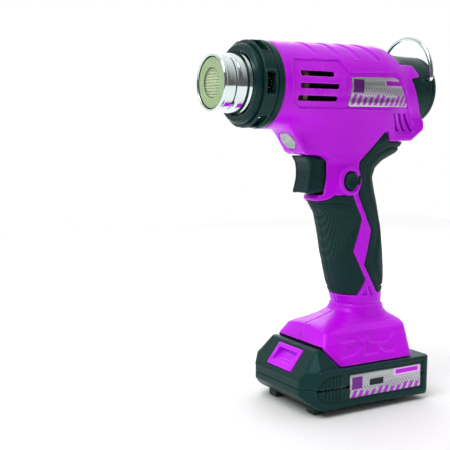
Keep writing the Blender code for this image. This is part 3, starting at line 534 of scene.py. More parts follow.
BARREL = ((-47.6, 28.3), (-20.0, 28.8), (20.0, 29.6), (38.0, 29.8),
          (47.0, 28.5), (55.0, 26.6), (64.0, 26.2), (79.0, 26.0))
BARREL_INSIDE = ((-60.0, 25.6), (20.0, 26.9), (38.0, 26.9), (47.0, 25.6), (55.0, 24.5), (95.0, 24.5))
HANDLE = (
    (62.0, 19.0, 53.8, 16.3, 2.35), (70.0, 17.9, 52.9, 16.4, 2.35), (77.2, 15.0, 53.6, 16.2, 2.35),
    (82.0, 12.9, 54.6, 16.3, 2.35), (92.0, 10.1, 54.2, 16.7, 2.35), (105.0, 7.0, 52.9, 17.0, 2.35),
    (120.0, 4.0, 50.9, 17.0, 2.35), (132.0, 0.8, 48.3, 17.0, 2.35), (139.0, -4.6, 46.9, 17.0, 2.35),
    (142.0, -8.8, 46.2, 17.0, 2.35), (144.6, -7.0, 45.2, 17.0, 2.35), (156.0, -4.2, 41.9, 17.2, 2.35),
    (163.0, -4.2, 44.4, 17.4, 2.35), (168.0, -4.8, 51.0, 17.7, 2.35), (173.6, -8.6, 64.4, 18.6, 2.4),
    (180.5, -17.0, 68.6, 20.6, 2.5), (190.0, -25.0, 70.0, 23.2, 2.7), (198.0, -29.0, 69.0, 25.4, 2.8),
    (206.0, -29.0, 66.0, 27.0, 2.8))
BOOT = (
    (32.0, -3.0, 62.0, 33.3, 16.0), (43.9, -13.5, 62.6, 27.9, 14.0), (55.8, -8.5, 63.0, 24.2, 12.0),
    (57.0, -5.5, 62.5, 22.2, 9.0), (58.5, 1.0, 60.0, 19.5, 5.0), (60.5, 9.0, 57.0, 18.0, 3.6),
    (63.0, 15.5, 55.0, 17.0, 2.6), (66.0, 18.4, 53.6, 16.3, 2.35))
BOOT_CROWN = 0.0065          # the foot's roof falls off with the square of x
HANDLE_FOOT, HANDLE_TOP = 62.0, 206.0
BARREL_FRONT, BARREL_REAR = -47.6, 79.0
SCREWS = ((2.0, 181.5), (27.0, 186.0), (16.0, 139.0), (46.0, 56.5), (28.0, 67.0))
BUTTON_Y, BUTTON_Z = 15.0, 154.5
LIGHT_Y, LIGHT_Z = -25.6, 181.2
SIDE_VENTS = ((-34.8, -8.9), (-35.2, -5.2), (-36.2, -5.8))
SIDE_VENT_TOP, SIDE_VENT_PITCH = 224.0, 7.75
TAIL_VENT_FRONT, TAIL_VENT_PITCH = 42.9, 6.6
FRONT_GRIP = ((-30.0, 141.6), (-4.6, 140.4), (0.4, 142.4), (3.6, 144.6), (17.0, 144.8),
              (25.4, 128.3), (19.4, 105.9), (30.5, 85.6), (24.6, 75.2), (-30.0, 75.2))
REAR_GRIP = ((39.6, 187.6), (29.6, 175.4), (21.6, 167.0), (22.2, 144.8), (34.6, 120.2),
             (29.2, 96.2), (42.0, 76.0), (90.0, 76.0), (90.0, 180.8), (45.6, 181.0), (43.0, 187.6))
REAR_EDGE = ((41.5, 262.0), (43.0, 247.5), (46.5, 240.0), (50.0, 233.3), (62.6, 233.1),
             (67.0, 225.4), (58.6, 223.6), (65.6, 209.6), (73.0, 199.6), (77.1, 194.4),
             (77.1, 170.0), (120.0, 170.0), (120.0, 262.0))
PANEL = ((-38.5, 232.6), (-3.8, 233.5), (3.2, 225.6), (42.0, 227.0), (46.4, 224.5),
         (50.9, 217.5), (57.0, 206.0), (63.0, 198.6), (68.5, 190.2), (66.0, 186.0),
         (51.0, 186.0), (44.6, 199.6), (41.8, 202.2), (-33.8, 202.2), (-41.0, 206.9),
         (-41.4, 227.8))
LABEL = ((4.6, 223.6), (47.0, 224.6), (58.6, 204.6), (2.0, 203.4))


def profile(points, at, ease=1.2):
    """Radius along the barrel axis, with its corners eased."""
    return curve_through(points, 1, at, ease)


def band(space, radius_at):
    """A turned body about the barrel axis with that radius at each y."""
    return (about_axis(space)[0] - radius_at).astype(np.float32)


def handle_field(space):
    """The handle's outer form, capped inside the barrel and the boot."""
    handle = meet(stack_field(space, HANDLE, 0.9), space.z - HANDLE_TOP)
    return meet(handle, HANDLE_FOOT - space.z)


# --------------------------------------------------------------------- housing

def hexagon_light(space, grow=0.0):
    """The light window: distance in the chin's slanted face, and depth out of it."""
    along = Vector((0.0, 9.7, -14.6)).normalized()
    out = Vector((0.0, along.z, -along.y))
    dy, dz = space.y - LIGHT_Y, space.z - LIGHT_Z
    v = dy * along.y + dz * along.z
    w, h = 7.4 + grow, 6.2 + grow
    outline = ((-w, -1.6), (-w + 3.2, -h), (w - 3.2, -h), (w, -1.6), (w, 1.6), (w - 3.6, h),
               (-w + 3.6, h), (-w, 1.6))
    u = np.broadcast_to(space.x, space.shape)
    return flat_distance(u, np.broadcast_to(v, space.shape), outline), dy * out.y + dz * out.z


def patch(space, low, high):
    """Index ranges and the sample box for a small region of a space."""
    cuts = []
    axes = (space.x.ravel(), space.y.ravel(), space.z.ravel())
    for axis, a, b in zip(axes, low, high):
        cuts.append(slice(int(np.searchsorted(axis, a)), int(np.searchsorted(axis, b))))
    small = Space.__new__(Space)
    small.step = space.step
    small.low = np.array([axis[c.start] for axis, c in zip(axes, cuts)], np.float64)
    small.x = space.x[cuts[0]]
    small.y = space.y[:, cuts[1]]
    small.z = space.z[:, :, cuts[2]]
    small.shape = (small.x.size, small.y.size, small.z.size)
    return tuple(cuts), small


def flutes(space):
    """Depth of the four shallow flutes that run down from the barrel's top."""
    angle = np.degrees(np.arctan2(space.z - AXIS_Z, np.abs(space.x)))
    depth = np.zeros(np.broadcast_shapes(angle.shape, space.y.shape), np.float32)
    for start, end, stop, wide in ((-25.5, -20.5, 44.5, 3.6), (-8.6, -3.6, 44.0, 4.2),
                                   (4.6, 13.2, 37.5, 5.0), (18.6, 28.9, 37.0, 5.6)):
        middle = end + (start - end) * (angle - stop) / (90.0 - stop)
        across = np.abs(space.y - middle) - wide / 2
        beyond = (stop - angle) * 0.5
        edge = np.maximum(across, beyond)
        depth = np.maximum(depth, fade(edge, 0.7))
    return 0.75 * depth


def outer_field(space):
    """The housing's plain outer form: barrel, column, chin and the lobe at the rear."""
    y, z = space.y, space.z
    radius = profile(BARREL, y, 2.0)
    barrel = band(space, radius)
    if space.low[2] < AXIS_Z < space.z.max() and space.low[0] < 0:
        cuts, top = patch(space, (-2.0, -40.0, AXIS_Z), (40.0, 45.0, 250.0))
        barrel[cuts] += flutes(top)
    barrel = meet(barrel, BARREL_FRONT - y, 1.6)
    barrel = meet(barrel, y - BARREL_REAR)
    handle = handle_field(space)
    tail_line = flat_distance(y, z, ((40.0, 204.0), (45.8, 181.5), (66.6, 181.5), (78.4, 189.8),
                                     (78.4, 204.0)), 2)
    tail = meet(tail_line, np.abs(space.x) - 19.6, 2.4)
    chin_line = flat_distance(y, z, ((-31.5, 191.0), (-30.3, 188.5), (-20.6, 173.9),
                                     (-17.6, 172.0), (11.3, 172.0), (11.3, 204.0),
                                     (-31.5, 204.0)), 1)
    chin = meet(chin_line, np.abs(space.x) - 12.5, 2.6)
    column = join(handle, chin, 7.0)
    return join(join(barrel, column, 6.0), tail, 2.5), handle, chin


def panel_depth(space):
    """Depth of the side panel and, deeper still, of the seat of its plate."""
    blur = max(1, int(round(0.5 / space.step)))
    panel = flat_distance(space.y, space.z, PANEL, blur)
    label = flat_distance(space.y, space.z, LABEL, blur)
    depth = 1.1 * fade(panel, 0.6)
    depth = depth + 0.35 * fade(label - 0.3, 0.5)
    return depth * np.clip((np.abs(space.x) - 11.0) / 3.0, 0.0, 1.0)


def housing_field():
    """Half of the housing without what differs between its sides."""
    space = Space((-1.3, -49.5, 29.8), (36.5, 80.6, 249.4), STEP)
    y, z = space.y, space.z
    outer, handle, chin = outer_field(space)
    outer = outer + panel_depth(space)
    boot = meet(meet(boot_field(space), 32.0 - z), z - 66.0)
    neck = 0.55 * np.exp(-((z - 68.4) / 0.55) ** 2)
    side = boot_marks(space)
    outer = join(outer, boot + side, 3.0)
    outer = outer + neck * (np.abs(z - 68.4) < 3.0)
    inner_radius = np.interp(y, [p[0] for p in BARREL_INSIDE], [p[1] for p in BARREL_INSIDE])
    hollow = band(space, inner_radius)
    hollow = join(hollow, meet(handle + 4.3, 72.0 - z))
    hollow = join(hollow, meet(chin + 2.4, z - 200.0))
    hollow = join(hollow, meet(boot + 3.0, 43.0 - z))
    hollow = join(hollow, box_field(space, (-21.6, -42.0, 20.0), (21.6, 58.0, 42.0), 0.3))
    hollow = join(hollow, box_field(space, (-25.2, -42.0, 39.1), (25.2, 57.9, 44.6), 0.3))
    hollow = join(hollow, meet(meet(handle + 4.6, z - 74.0), 55.0 - z))
    body = take(outer, hollow, 0.5)
    for outline in (FRONT_GRIP, REAR_GRIP):
        region = flat_distance(y, z, outline)
        seat = meet(meet(handle - 1.5, -(handle + 2.3)), region - 0.3)
        body = take(body, seat, 0.5)
    edge = flat_distance(y, z, REAR_EDGE, 1)
    body = take(body, edge, 0.9)
    opening = box_field(space, (-9.6, -44.0, 145.1), (9.6, 1.6, 172.3), 2.6)
    pocket = box_field(space, (-9.6, -10.0, 145.1), (9.6, 5.7, 172.3), 1.0)
    body = take(body, join(opening, pocket), 1.0)
    for i, (front, rear) in enumerate(SIDE_VENTS):
        height = SIDE_VENT_TOP - SIDE_VENT_PITCH * i
        cuts, part = patch(space, (14.0, front - 4.0, height - 5.0), (36.0, rear + 4.0, height + 5.0))
        slot = box_field(part, (15.0, front, height - 1.6), (45.0, rear, height + 1.6), 1.1)
        body[cuts] = take(body[cuts], slot, 0.6)
    for i in range(3):
        at = TAIL_VENT_FRONT + TAIL_VENT_PITCH * i
        outline = ((at, 200.2), (at + 2.7, 200.2), (at + 11.3, 188.2), (at + 8.6, 188.2))
        cuts, part = patch(space, (12.0, at - 3.0, 184.0), (36.0, at + 15.0, 204.0))
        slot = flat_distance(part.y, part.z, outline)
        body[cuts] = take(body[cuts], slot, 0.6)
    for outline in (((28.3, 74.6), (31.6, 78.6), (33.0, 74.3)),
                    ((32.6, 81.0), (34.0, 81.2), (38.4, 74.3), (35.3, 74.3))):
        cuts, part = patch(space, (10.0, 26.0, 72.0), (36.0, 41.0, 84.0))
        hole = meet(np.broadcast_to(flat_distance(part.y, part.z, outline), part.shape),
                    -(handle[cuts] + 1.6))
        body[cuts] = take(body[cuts], hole, 0.4)
    cuts, part = patch(space, (-2.0, -42.0, 170.0), (13.0, -12.0, 196.0))
    flat, out = hexagon_light(part, 0.3)
    body[cuts] = take(body[cuts], meet(flat, np.abs(out) - 4.0), 0.4)
    return space, body


def boot_field(space):
    """The foot: leaning sides, and a roof that falls off towards them."""
    cuts, part = patch(space, (-40.0, -40.0, 29.0), (40.0, 90.0, 72.0))
    low = np.clip((part.z - 46.0) / 6.0, 0.0, 1.0) * np.clip((64.0 - part.z) / 4.0, 0.0, 1.0)
    raised = part.z + BOOT_CROWN * part.x ** 2 * low
    rows = np.array(BOOT)
    front, rear, wide, power = (np.interp(raised, rows[:, 0], rows[:, i]) for i in (1, 2, 3, 4))
    u = np.maximum(np.abs(part.x) / wide, 1e-3)
    v = np.maximum(np.abs(part.y - (front + rear) / 2) / ((rear - front) / 2), 1e-3)
    inside = ((u ** power + v ** power) ** (1.0 / power) - 1.0).astype(np.float32)
    field = np.full(space.shape, 20.0, np.float32)
    field[cuts] = even(inside, space.step)
    return field


def boot_marks(space):
    """Shallow decorative recesses on the boot's sides, as extra distance."""
    cuts, part = patch(space, (20.0, -6.0, 34.0), (36.0, 56.0, 54.0))
    depth = np.zeros(space.shape, np.float32)
    total = np.zeros((1, part.shape[1], part.shape[2]), np.float32)
    for outline in (((0.2, 49.3), (11.0, 50.4), (16.2, 46.9), (2.0, 46.6)),
                    ((17.6, 50.2), (26.2, 50.3), (22.3, 45.9), (20.0, 46.0)),
                    ((28.8, 50.0), (50.9, 50.3), (42.9, 44.0), (37.0, 43.3), (25.6, 44.8)),
                    ((5.9, 44.4), (19.6, 42.5), (12.1, 38.4), (-0.6, 37.2)),
                    ((22.6, 42.4), (27.8, 42.6), (33.3, 37.0), (18.8, 37.2)),
                    ((33.4, 41.6), (49.6, 41.2), (46.0, 37.2), (37.6, 37.2))):
        line = flat_distance(part.y, part.z, outline)
        total = np.maximum(total, fade(line, 0.8))
    depth[cuts] = 0.7 * total
    return depth


def cylinder_along_x(space, y, z, radius, low, high):
    """A round hole along X."""
    rho = np.sqrt((space.y - y) ** 2 + (space.z - z) ** 2) - radius
    return meet(rho,
                np.abs(space.x - (low + high) / 2) - (high - low) / 2)


def build_housing():
    """The two halves of the body, with the button on the left and screws on the right."""
    space, body = housing_field()
    seam = 0.15 - space.x
    left = meet(body, seam, 0.5)
    cuts, part = patch(space, (8.0, 2.0, 142.0), (30.0, 28.0, 168.0))
    rho = np.sqrt((part.y - BUTTON_Y) ** 2 + (part.z - BUTTON_Z) ** 2)
    forward = (part.y - BUTTON_Y) / np.maximum(rho, 0.5)
    ring = np.sqrt((rho - 8.6) ** 2 + (part.x - 16.7) ** 2) - (1.35 - 0.75 * forward)
    region = join(left[cuts], ring, 1.0)
    region = take(region, cylinder_along_x(part, BUTTON_Y, BUTTON_Z, 6.4, 11.0, 30.0), 0.6)
    left[cuts] = region
    moulding("housing_left_shell", space, left, PINK.material, "housing", ("housing_left",))
    right = meet(body, seam, 0.5)
    for y, z in SCREWS:
        cuts, part = patch(space, (-2.0, y - 6.0, z - 6.0), (36.0, y + 6.0, z + 6.0))
        bore = join(cylinder_along_x(part, y, z, 3.3, 14.0, 44.0),
                    cylinder_along_x(part, y, z, 1.75, -4.0, 16.0))
        right[cuts] = take(right[cuts], bore, 0.5)
    moulding("housing_right_shell", space, right, PINK.material, "housing", ("housing_right",),
             mirror=True)


build_housing()


# ------------------------------------------------------------- turned and swept

def eased(points, radius, steps=4, closed=True):
    """A polyline with each corner replaced by a small curve."""
    made = []
    count = len(points)
    for i, p in enumerate(points):
        if not closed and i in (0, count - 1):
            made.append(tuple(p))
            continue
        p = np.array(p, float)
        a, b = np.array(points[i - 1], float), np.array(points[(i + 1) % count], float)
        la, lb = np.linalg.norm(a - p), np.linalg.norm(b - p)
        reach = min(radius, 0.45 * la, 0.45 * lb)
        start, end = p + (a - p) / la * reach, p + (b - p) / lb * reach
        for k in range(steps + 1):
            t = k / steps
            made.append(tuple((1 - t) ** 2 * start + 2 * t * (1 - t) * p + t * t * end))
    return made


def revolve(space, outline):
    """Field of an outline (y, r) turned about the barrel axis."""
    radius = about_axis(space)[0][:, 0, :]
    pitch = 0.2
    grid = np.arange(0.0, radius.max() + 1.0, pitch)
    table = flat_distance(space.y.ravel()[:, None], grid[None, :], outline)
    place_at = radius / pitch
    base = place_at.astype(np.int64)
    part = (place_at - base)[None]
    made = table[:, base] * (1 - part) + table[:, np.minimum(base + 1, len(grid) - 1)] * part
    return np.ascontiguousarray(made.transpose(1, 0, 2)).astype(np.float32)


def finish_mesh(bm, name, look, body, replaced, angle=40.0):
    """Turn a bmesh in millimetres into a smooth-shaded piece."""
    bmesh.ops.remove_doubles(bm, verts=bm.verts, dist=1e-4)
    bmesh.ops.recalc_face_normals(bm, faces=bm.faces)
    bmesh.ops.scale(bm, vec=(MM, MM, MM), verts=bm.verts)
    mesh = bpy.data.meshes.new(name)
    bm.to_mesh(mesh)
    bm.free()
    mesh.shade_smooth()
    mesh.set_sharp_from_angle(angle=math.radians(angle))
    obj = place(name, mesh, look, body, replaced)
    weigh = obj.modifiers.new("weigh", "WEIGHTED_NORMAL")
    weigh.keep_sharp = True
    return obj


def turned_piece(name, outline, look, body, replaced=(), steps=96, turn=None):
    """A closed outline (y, r) turned about the barrel axis, or moved by turn."""
    bm = bmesh.new()
    verts = [bm.verts.new((0.0, y, r)) for y, r in outline]
    edges = [bm.edges.new(pair) for pair in zip(verts, verts[1:] + verts[:1])
             if abs(pair[0].co.z) > 1e-9 or abs(pair[1].co.z) > 1e-9]
    bmesh.ops.spin(bm, geom=verts + edges, cent=(0, 0, 0), axis=(0, 1, 0),
                   angle=2 * math.pi, steps=steps, use_duplicate=False)
    bmesh.ops.transform(bm, matrix=turn or Matrix.Translation((0, 0, AXIS_Z)), verts=bm.verts)
    return finish_mesh(bm, name, look, body, replaced)


def tube_piece(name, points, radius, look, body, replaced=(), sides=20):
    """A round wire along a line of points, with closed ends."""
    points = [Vector(p) for p in points]
    bm = bmesh.new()
    rings = []
    side = None
    for i, p in enumerate(points):
        ahead = points[min(i + 1, len(points) - 1)] - points[max(i - 1, 0)]
        ahead.normalize()
        side = ahead.orthogonal() if side is None else side - ahead * side.dot(ahead)
        side.normalize()
        other = ahead.cross(side)
        ring = []
        for k in range(sides):
            a = 2 * math.pi * k / sides
            ring.append(bm.verts.new(p + radius * (math.cos(a) * side + math.sin(a) * other)))
        rings.append(ring)
    for first, second in zip(rings, rings[1:]):
        for k in range(sides):
            n = (k + 1) % sides
            bm.faces.new((first[k], first[n], second[n], second[k]))
    bm.faces.new(rings[0][::-1])
    bm.faces.new(rings[-1])
    return finish_mesh(bm, name, look, body, replaced)


# ----------------------------------------------------------------- soft grips

FRONT_LINE = ((-30.0, 139.3), (11.9, 139.3), (18.9, 136.6), (23.2, 130.3), (22.3, 126.2),
              (16.0, 110.7), (17.0, 105.8), (24.4, 94.2), (27.3, 85.5), (22.6, 79.2), (-30.0, 79.2))
REAR_LINE = ((28.6, 165.0), (29.4, 147.6), (33.4, 140.9), (41.2, 125.3), (42.4, 118.2),
             (35.8, 97.5), (45.8, 79.6), (90.0, 79.6), (90.0, 176.8), (45.5, 176.8), (36.0, 172.6))
REAR_LINE_TWO = tuple((y + 2.6, z) for y, z in REAR_LINE)
FRONT_KNURL = ((-30.0, 136.0), (9.5, 136.0), (16.0, 133.4), (19.6, 129.4), (18.8, 126.6),
               (12.8, 111.6), (13.2, 106.0), (9.0, 99.0), (2.0, 93.0), (-30.0, 90.0))
REAR_KNURL = ((47.0, 132.0), (46.6, 118.0), (40.6, 98.0), (48.0, 84.0), (90.0, 84.0), (90.0, 132.0))


def groove(line, width, depth):
    """Depth of a rounded groove along the edge of a region."""
    return depth * np.exp(-(line / width) ** 2)


def build_grips():
    """Soft covers set into the handle, each with piping, a groove and a woven patch."""
    space = Space((-1.3, -14.6, 73.8), (19.8, 71.6, 189.6), FINE)
    handle = meet(stack_field(space, HANDLE, 0.9), space.z - HANDLE_TOP)
    for end, outline, lines, knurl in (
            ("front", FRONT_GRIP, (FRONT_LINE,), FRONT_KNURL),
            ("rear", REAR_GRIP, (REAR_LINE, REAR_LINE_TWO), REAR_KNURL)):
        region = flat_distance(space.y, space.z, outline, 1)
        carve = 0.0
        for line in lines:
            carve = carve + groove(flat_distance(space.y, space.z, line, 1), 0.62, 0.55)
        patch_edge = flat_distance(space.y, space.z, knurl, 2)
        woven = fade(patch_edge, 1.6)
        outer = handle - 0.15 + carve - 0.22 * woven
        field = meet(meet(outer, -(handle + 1.9)), region + 0.05, 1.1)
        field = meet(field, 0.15 - space.x)
        mirrored_pair(f"grip_{end}_{{}}_cover", space, field, RUBBER.material,
                      f"grip_{end}_{{}}", {"knurl": woven})


# -------------------------------------------------------------- front assembly

COLLAR = ((-66.2, 21.2), (-66.2, 23.8), (-64.9, 25.2), (-63.0, 25.5), (-62.7, 24.5),
          (-61.9, 24.5), (-61.6, 27.2), (-60.9, 27.8), (-53.2, 27.8), (-52.8, 26.9),
          (-52.0, 26.9), (-51.7, 28.2), (-48.0, 28.2), (-48.0, 25.5), (-38.0, 25.5),
          (-38.0, 23.5), (-61.0, 23.5), (-63.2, 20.6), (-65.6, 20.6))


WINDOW_PITCH = 60.0         # degrees between the collar's windows
GUARD_PITCH = 15.0          # degrees between the guard's bars


def build_collar():
    """The vented collar with six framed windows."""
    space = Space((-29.4, -67.4, AXIS_Z - 29.4), (29.4, -36.8, AXIS_Z + 29.4), FINE)
    body = revolve(space, COLLAR) - 0.1
    radius, angle = about_axis(space)
    local = np.radians((angle + WINDOW_PITCH / 2) % WINDOW_PITCH - WINDOW_PITCH / 2)
    across = radius * np.sin(local)
    opening = rounded(np.abs(space.y + 57.4) - 3.0, np.abs(across) - 6.6, 1.0)
    frame_rib = 0.55 * np.exp(-((opening - 1.0) / 0.55) ** 2) * (radius > 26.0)
    body = body - frame_rib
    body = take(body, meet(opening, 20.0 - radius), 0.5)
    moulding("collar_ring", space, body, BLACK.material, "housing", ("collar",))


def build_guard():
    """The slotted bright guard behind the windows."""
    space = Space((-23.9, -61.4, AXIS_Z - 23.9), (23.9, -39.0, AXIS_Z + 23.9), FINE)
    radius, angle = about_axis(space)
    body = meet(np.abs(radius - 22.35) - 0.5, np.abs(space.y + 50.25) - 10.25)
    local = np.radians((angle + GUARD_PITCH / 2) % GUARD_PITCH - GUARD_PITCH / 2)
    slot = meet(np.abs(radius * np.sin(local)) - 2.4, np.abs(space.y + 55.5) - 4.0)
    moulding("guard_ring", space, take(body, slot, 0.3), CHROME.material, "housing",
             ("collar_guard",))


def build_nozzle():
    """The chromed tube: a rolled lip, a shallow waist and a flare into the collar."""
    outer = [(-85.1, 16.5), (-85.5, 17.3), (-84.8, 18.2), (-83.9, 18.4), (-83.1, 18.15),
             (-82.3, 18.4), (-77.6, 18.4), (-76.2, 17.85), (-74.8, 17.85), (-73.4, 18.7),
             (-69.4, 18.9), (-67.6, 18.6), (-66.0, 19.5), (-61.5, 19.8), (-32.0, 19.8)]
    inner = [(-32.0, 19.1), (-61.5, 19.1), (-66.0, 18.8), (-69.4, 18.0), (-74.8, 17.1),
             (-83.7, 17.4), (-84.3, 16.5)]
    turned_piece("nozzle_sleeve", eased(outer + inner, 0.9, 5), CHROME.material, "housing",
                 ("nozzle_tube",), 128)


COMB_PITCH, COMB_WALL, COMB_RADIUS, COMB_ROWS = 2.1, 0.4, 9.9, 6


def build_outlet():
    """The ceramic outlet: a ring face, and a fine honeycomb set into it."""
    outline = [(-84.6, 9.7), (-84.6, 15.4), (-83.8, 16.2), (-79.0, 16.2), (-79.0, 11.4),
               (-83.6, 11.4), (-84.1, 9.5)]
    turned_piece("outlet_ring", eased(outline, 0.4, 3), CERAMIC.material, "housing",
                 ("outlet_ceramic",), 96)
    whole = COMB_PITCH / math.sqrt(3)
    hole = whole - COMB_WALL / 2
    turns = [math.radians(60 * k + 30) for k in range(6)]
    corners = [(math.cos(a), math.sin(a)) for a in turns]
    bm = bmesh.new()
    for row in range(-COMB_ROWS, COMB_ROWS + 1):
        for column in range(-COMB_ROWS - 4, COMB_ROWS + 5):
            x = (column + 0.5 * (row % 2)) * COMB_PITCH
            z = row * COMB_PITCH * math.sqrt(3) / 2
            if math.hypot(x, z) > COMB_RADIUS:
                continue
            rim = [bm.verts.new((x + whole * c, 0.0, z + whole * s)) for c, s in corners]
            mouth = [bm.verts.new((x + hole * c, 0.0, z + hole * s)) for c, s in corners]
            for k in range(6):
                n = (k + 1) % 6
                bm.faces.new((rim[k], rim[n], mouth[n], mouth[k]))
    bmesh.ops.remove_doubles(bm, verts=bm.verts, dist=1e-3)
    grown = bmesh.ops.extrude_face_region(bm, geom=list(bm.faces))
    deeper = [v for v in grown["geom"] if isinstance(v, bmesh.types.BMVert)]
    bmesh.ops.translate(bm, vec=(0.0, 3.4, 0.0), verts=deeper)
    bmesh.ops.translate(bm, vec=(0.0, -83.3, AXIS_Z), verts=bm.verts)
    finish_mesh(bm, "outlet_honeycomb", COMB.material, "housing", (), 30.0)
    # A near-black disc of painted shade behind the honeycomb, standing for the shadowed hollow seen
    # through its cells.
    turned_piece("outlet_painted_shade_disc", [(-79.6, 0.0), (-79.6, 11.0), (-79.1, 11.0), (-79.1, 0.0)],
                 PAINTED_SHADE.material, "housing", (), 48)


# --------------------------------------------------------------- rear assembly

def build_rear_cap():
    """The rear cap: a sleeve in the barrel, a shoulder up to the stepped edge, intake slots."""
    space = Space((-30.0, 31.6, AXIS_Z - 30.0), (30.0, 86.6, AXIS_Z + 30.0),
                  0.46)
    sleeve = ((33.0, 26.6), (38.0, 26.6), (47.0, 25.3), (55.0, 24.0), (79.4, 23.7), (79.7, 23.1),
              (80.5, 23.1), (80.8, 23.6), (83.4, 23.4), (85.0, 21.8), (85.5, 19.4), (85.5, -5.0),
              (83.0, -5.0), (83.0, 20.0), (54.0, 21.4), (33.0, 23.4))
    shoulder = ((36.0, 28.8), (41.0, 28.8), (47.0, 27.9), (54.0, 25.2), (60.0, 23.8),
                (60.0, 22.2), (36.0, 24.2))
    edge = flat_distance(space.y, space.z, REAR_EDGE, 1)
    body = join(revolve(space, sleeve),
                meet(revolve(space, shoulder), edge + 0.5, 0.7), 1.2)
    for i, half in enumerate((16.0, 18.5, 19.0, 18.5, 16.0)):
        z = AXIS_Z + 6.0 * (i - 2)
        body = take(body, box_field(space, (-half, 80.0, z - 1.3), (half, 90.0, z + 1.3), 1.2), 0.7)
    rho = np.sqrt((space.y - 76.0) ** 2 + (space.z - 224.0) ** 2)
    bore = meet(rho - 1.9, 17.0 - np.abs(space.x))
    body = take(body, bore, 0.4)
    moulding("rear_cap_shell", space, body, BLACK.material, "housing", ("rear_cap",))


def build_hook():
    """The wire hook, hinged in the cap."""
    points = [(20.6, 76.0, 224.0), (23.2, 76.0, 224.0), (25.0, 76.0, 224.2), (25.8, 76.0, 225.0),
              (26.0, 76.0, 226.4)]
    for i in range(1, 48):
        a = math.pi * i / 48
        points.append((26.0 * math.cos(a), 76.0, 227.8 + 26.0 * math.sin(a)))
    points += [(-x, y, z) for x, y, z in reversed(points[:5])]
    points = eased(points, 1.2, 2, closed=False)
    tube_piece("hook_wire_arch", points, 1.6, CHROME.material, "hook", ("hanging_hook",))


# -------------------------------------------------------------------- controls

def build_trigger():
    """The trigger shoe with its hollow finger face."""
    outline = ((-19.0, 171.6), (-16.4, 169.6), (-14.4, 166.4), (-13.5, 161.5), (-13.6, 156.0),
               (-14.8, 150.6), (-16.0, 147.0), (-15.2, 145.6), (1.2, 145.6), (1.2, 171.6))
    space = Space((-10.4, -20.4, 144.4), (10.4, 2.4, 172.8), 0.36)
    flat = flat_distance(space.y, space.z, outline, 2)
    side = np.abs(space.x) - 9.2
    body = meet(flat + 0.3, side, 2.6)
    rib = 0.5 * fade(space.y + 8.6, 0.8) * (np.abs(space.x) > 7.0)
    body = body + 0.45 - 0.9 * rib
    hollow = box_field(space, (-7.4, -9.6, 147.4), (7.4, 6.0, 169.8), 0.8)
    moulding("trigger_shoe", space, take(body, hollow, 0.3), BLACK.material, "trigger",
             ("trigger",))


def build_lock_button():
    """The round button with a dished face."""
    outline = [(12.0, 4.0), (12.0, 5.9), (17.7, 5.9), (18.5, 5.2), (18.6, 4.8), (18.25, 3.9),
               (18.0, 2.0), (17.95, 0.0), (15.0, 0.0), (15.0, 4.0)]
    turn = (Matrix.Translation((0.0, BUTTON_Y, BUTTON_Z))
            @ Matrix.Rotation(math.radians(-90.0), 4, "Z"))
    turned_piece("lock_button_cap", eased(outline[:7], 0.4, 4, closed=False) + outline[7:],
                 BLACK.material, "lock_button", ("lock_button",), 64, turn)


def build_light():
    """The ribbed lens of the work light in its slanted window."""
    space = Space((-10.6, -31.6, 173.0), (10.6, -19.6, 190.0), 0.28)
    flat, out = hexagon_light(space, -0.1)
    u = np.broadcast_to(space.x, space.shape)
    tilt = np.abs(((u * 0.8 + (space.z - LIGHT_Z) * 0.55) / 1.9) % 1.0 - 0.5)
    face = out - 0.35 + 0.5 * tilt * np.clip((-flat - 0.7) / 0.5, 0.0, 1.0)
    body = meet(meet(flat, face, 0.5), -(out + 2.0))
    moulding("light_lens_cover", space, body, LENS.material, "housing", ("light_lens",))


LENS = speckled("lens", (0.32, 0.43, 0.36), (0.52, 0.62, 0.56), 0.16, 240.0, 0.00001, 0.7)


# --------------------------------------------------------------------- battery

PACK_HALF, PACK_FRONT, PACK_REAR = 36.7, -31.8, 74.5
PACK_SPLIT, PACK_DECK = 19.0, 31.5
NOSE_TOP = 43.6
PACK_STEP = 0.56


def underside(y):
    """Height of the battery's sloping underside."""
    return 5.6 - 1.8 * (y - PACK_FRONT) / (PACK_REAR - PACK_FRONT)


def along_slope(space):
    """Coordinates along and out of the battery's front slope."""
    along = Vector((0.0, 13.9, 17.8)).normalized()
    out = Vector((0.0, -along.z, along.y))
    dy, dz = space.y + 24.85, space.z - 34.7
    return dy * along.y + dz * along.z, dy * out.y + dz * out.z


def pack_outline(inset=0.0, shift=0.0):
    """Plan of the battery case (x, y) with its cut front corners."""
    half, nose = PACK_HALF - inset, 26.0 - 0.4 * inset
    front, rear = PACK_FRONT + inset + shift, PACK_REAR - inset
    right = [(nose, front), (half, front + 10.7), (half, rear - 3.0), (half - 2.4, rear)]
    return right + [(-x, y) for x, y in reversed(right)]


def plan_field(space, inset=0.0, shift=0.0, blur=2):
    """Distance to the battery's plan, the same at every height."""
    flat = flat_distance(space.x, space.y, pack_outline(inset, shift), blur)
    return np.broadcast_to(flat, space.shape)


def side_window(space):
    """Distance in the side view to the recess with the half-round front end."""
    middle, half = 18.6, 9.6
    dy = np.maximum(-12.4 - space.y, 0.0)
    dz = space.z - middle
    rounded_end = np.sqrt((dy * 0.92) ** 2 + dz ** 2) - half
    block = np.maximum(np.abs(dz) - half, space.y - 68.3)
    return np.where(space.y < -12.4, rounded_end, block)


def side_carving(space):
    """Depth carved into the battery's sides: the recess and its upright ribs."""
    window = side_window(space)
    depth = 1.15 * fade(window, 0.7)
    ribs = 0.0
    for i in range(6):
        at = -18.6 + 2.95 * i
        strip = np.abs(space.y - at) - 0.75
        ribs = np.maximum(ribs, fade(strip, 0.7))
    inside = np.clip(-(window + 1.0) / 0.8, 0.0, 1.0)
    return depth - 0.85 * ribs * inside * (space.y < -1.2)


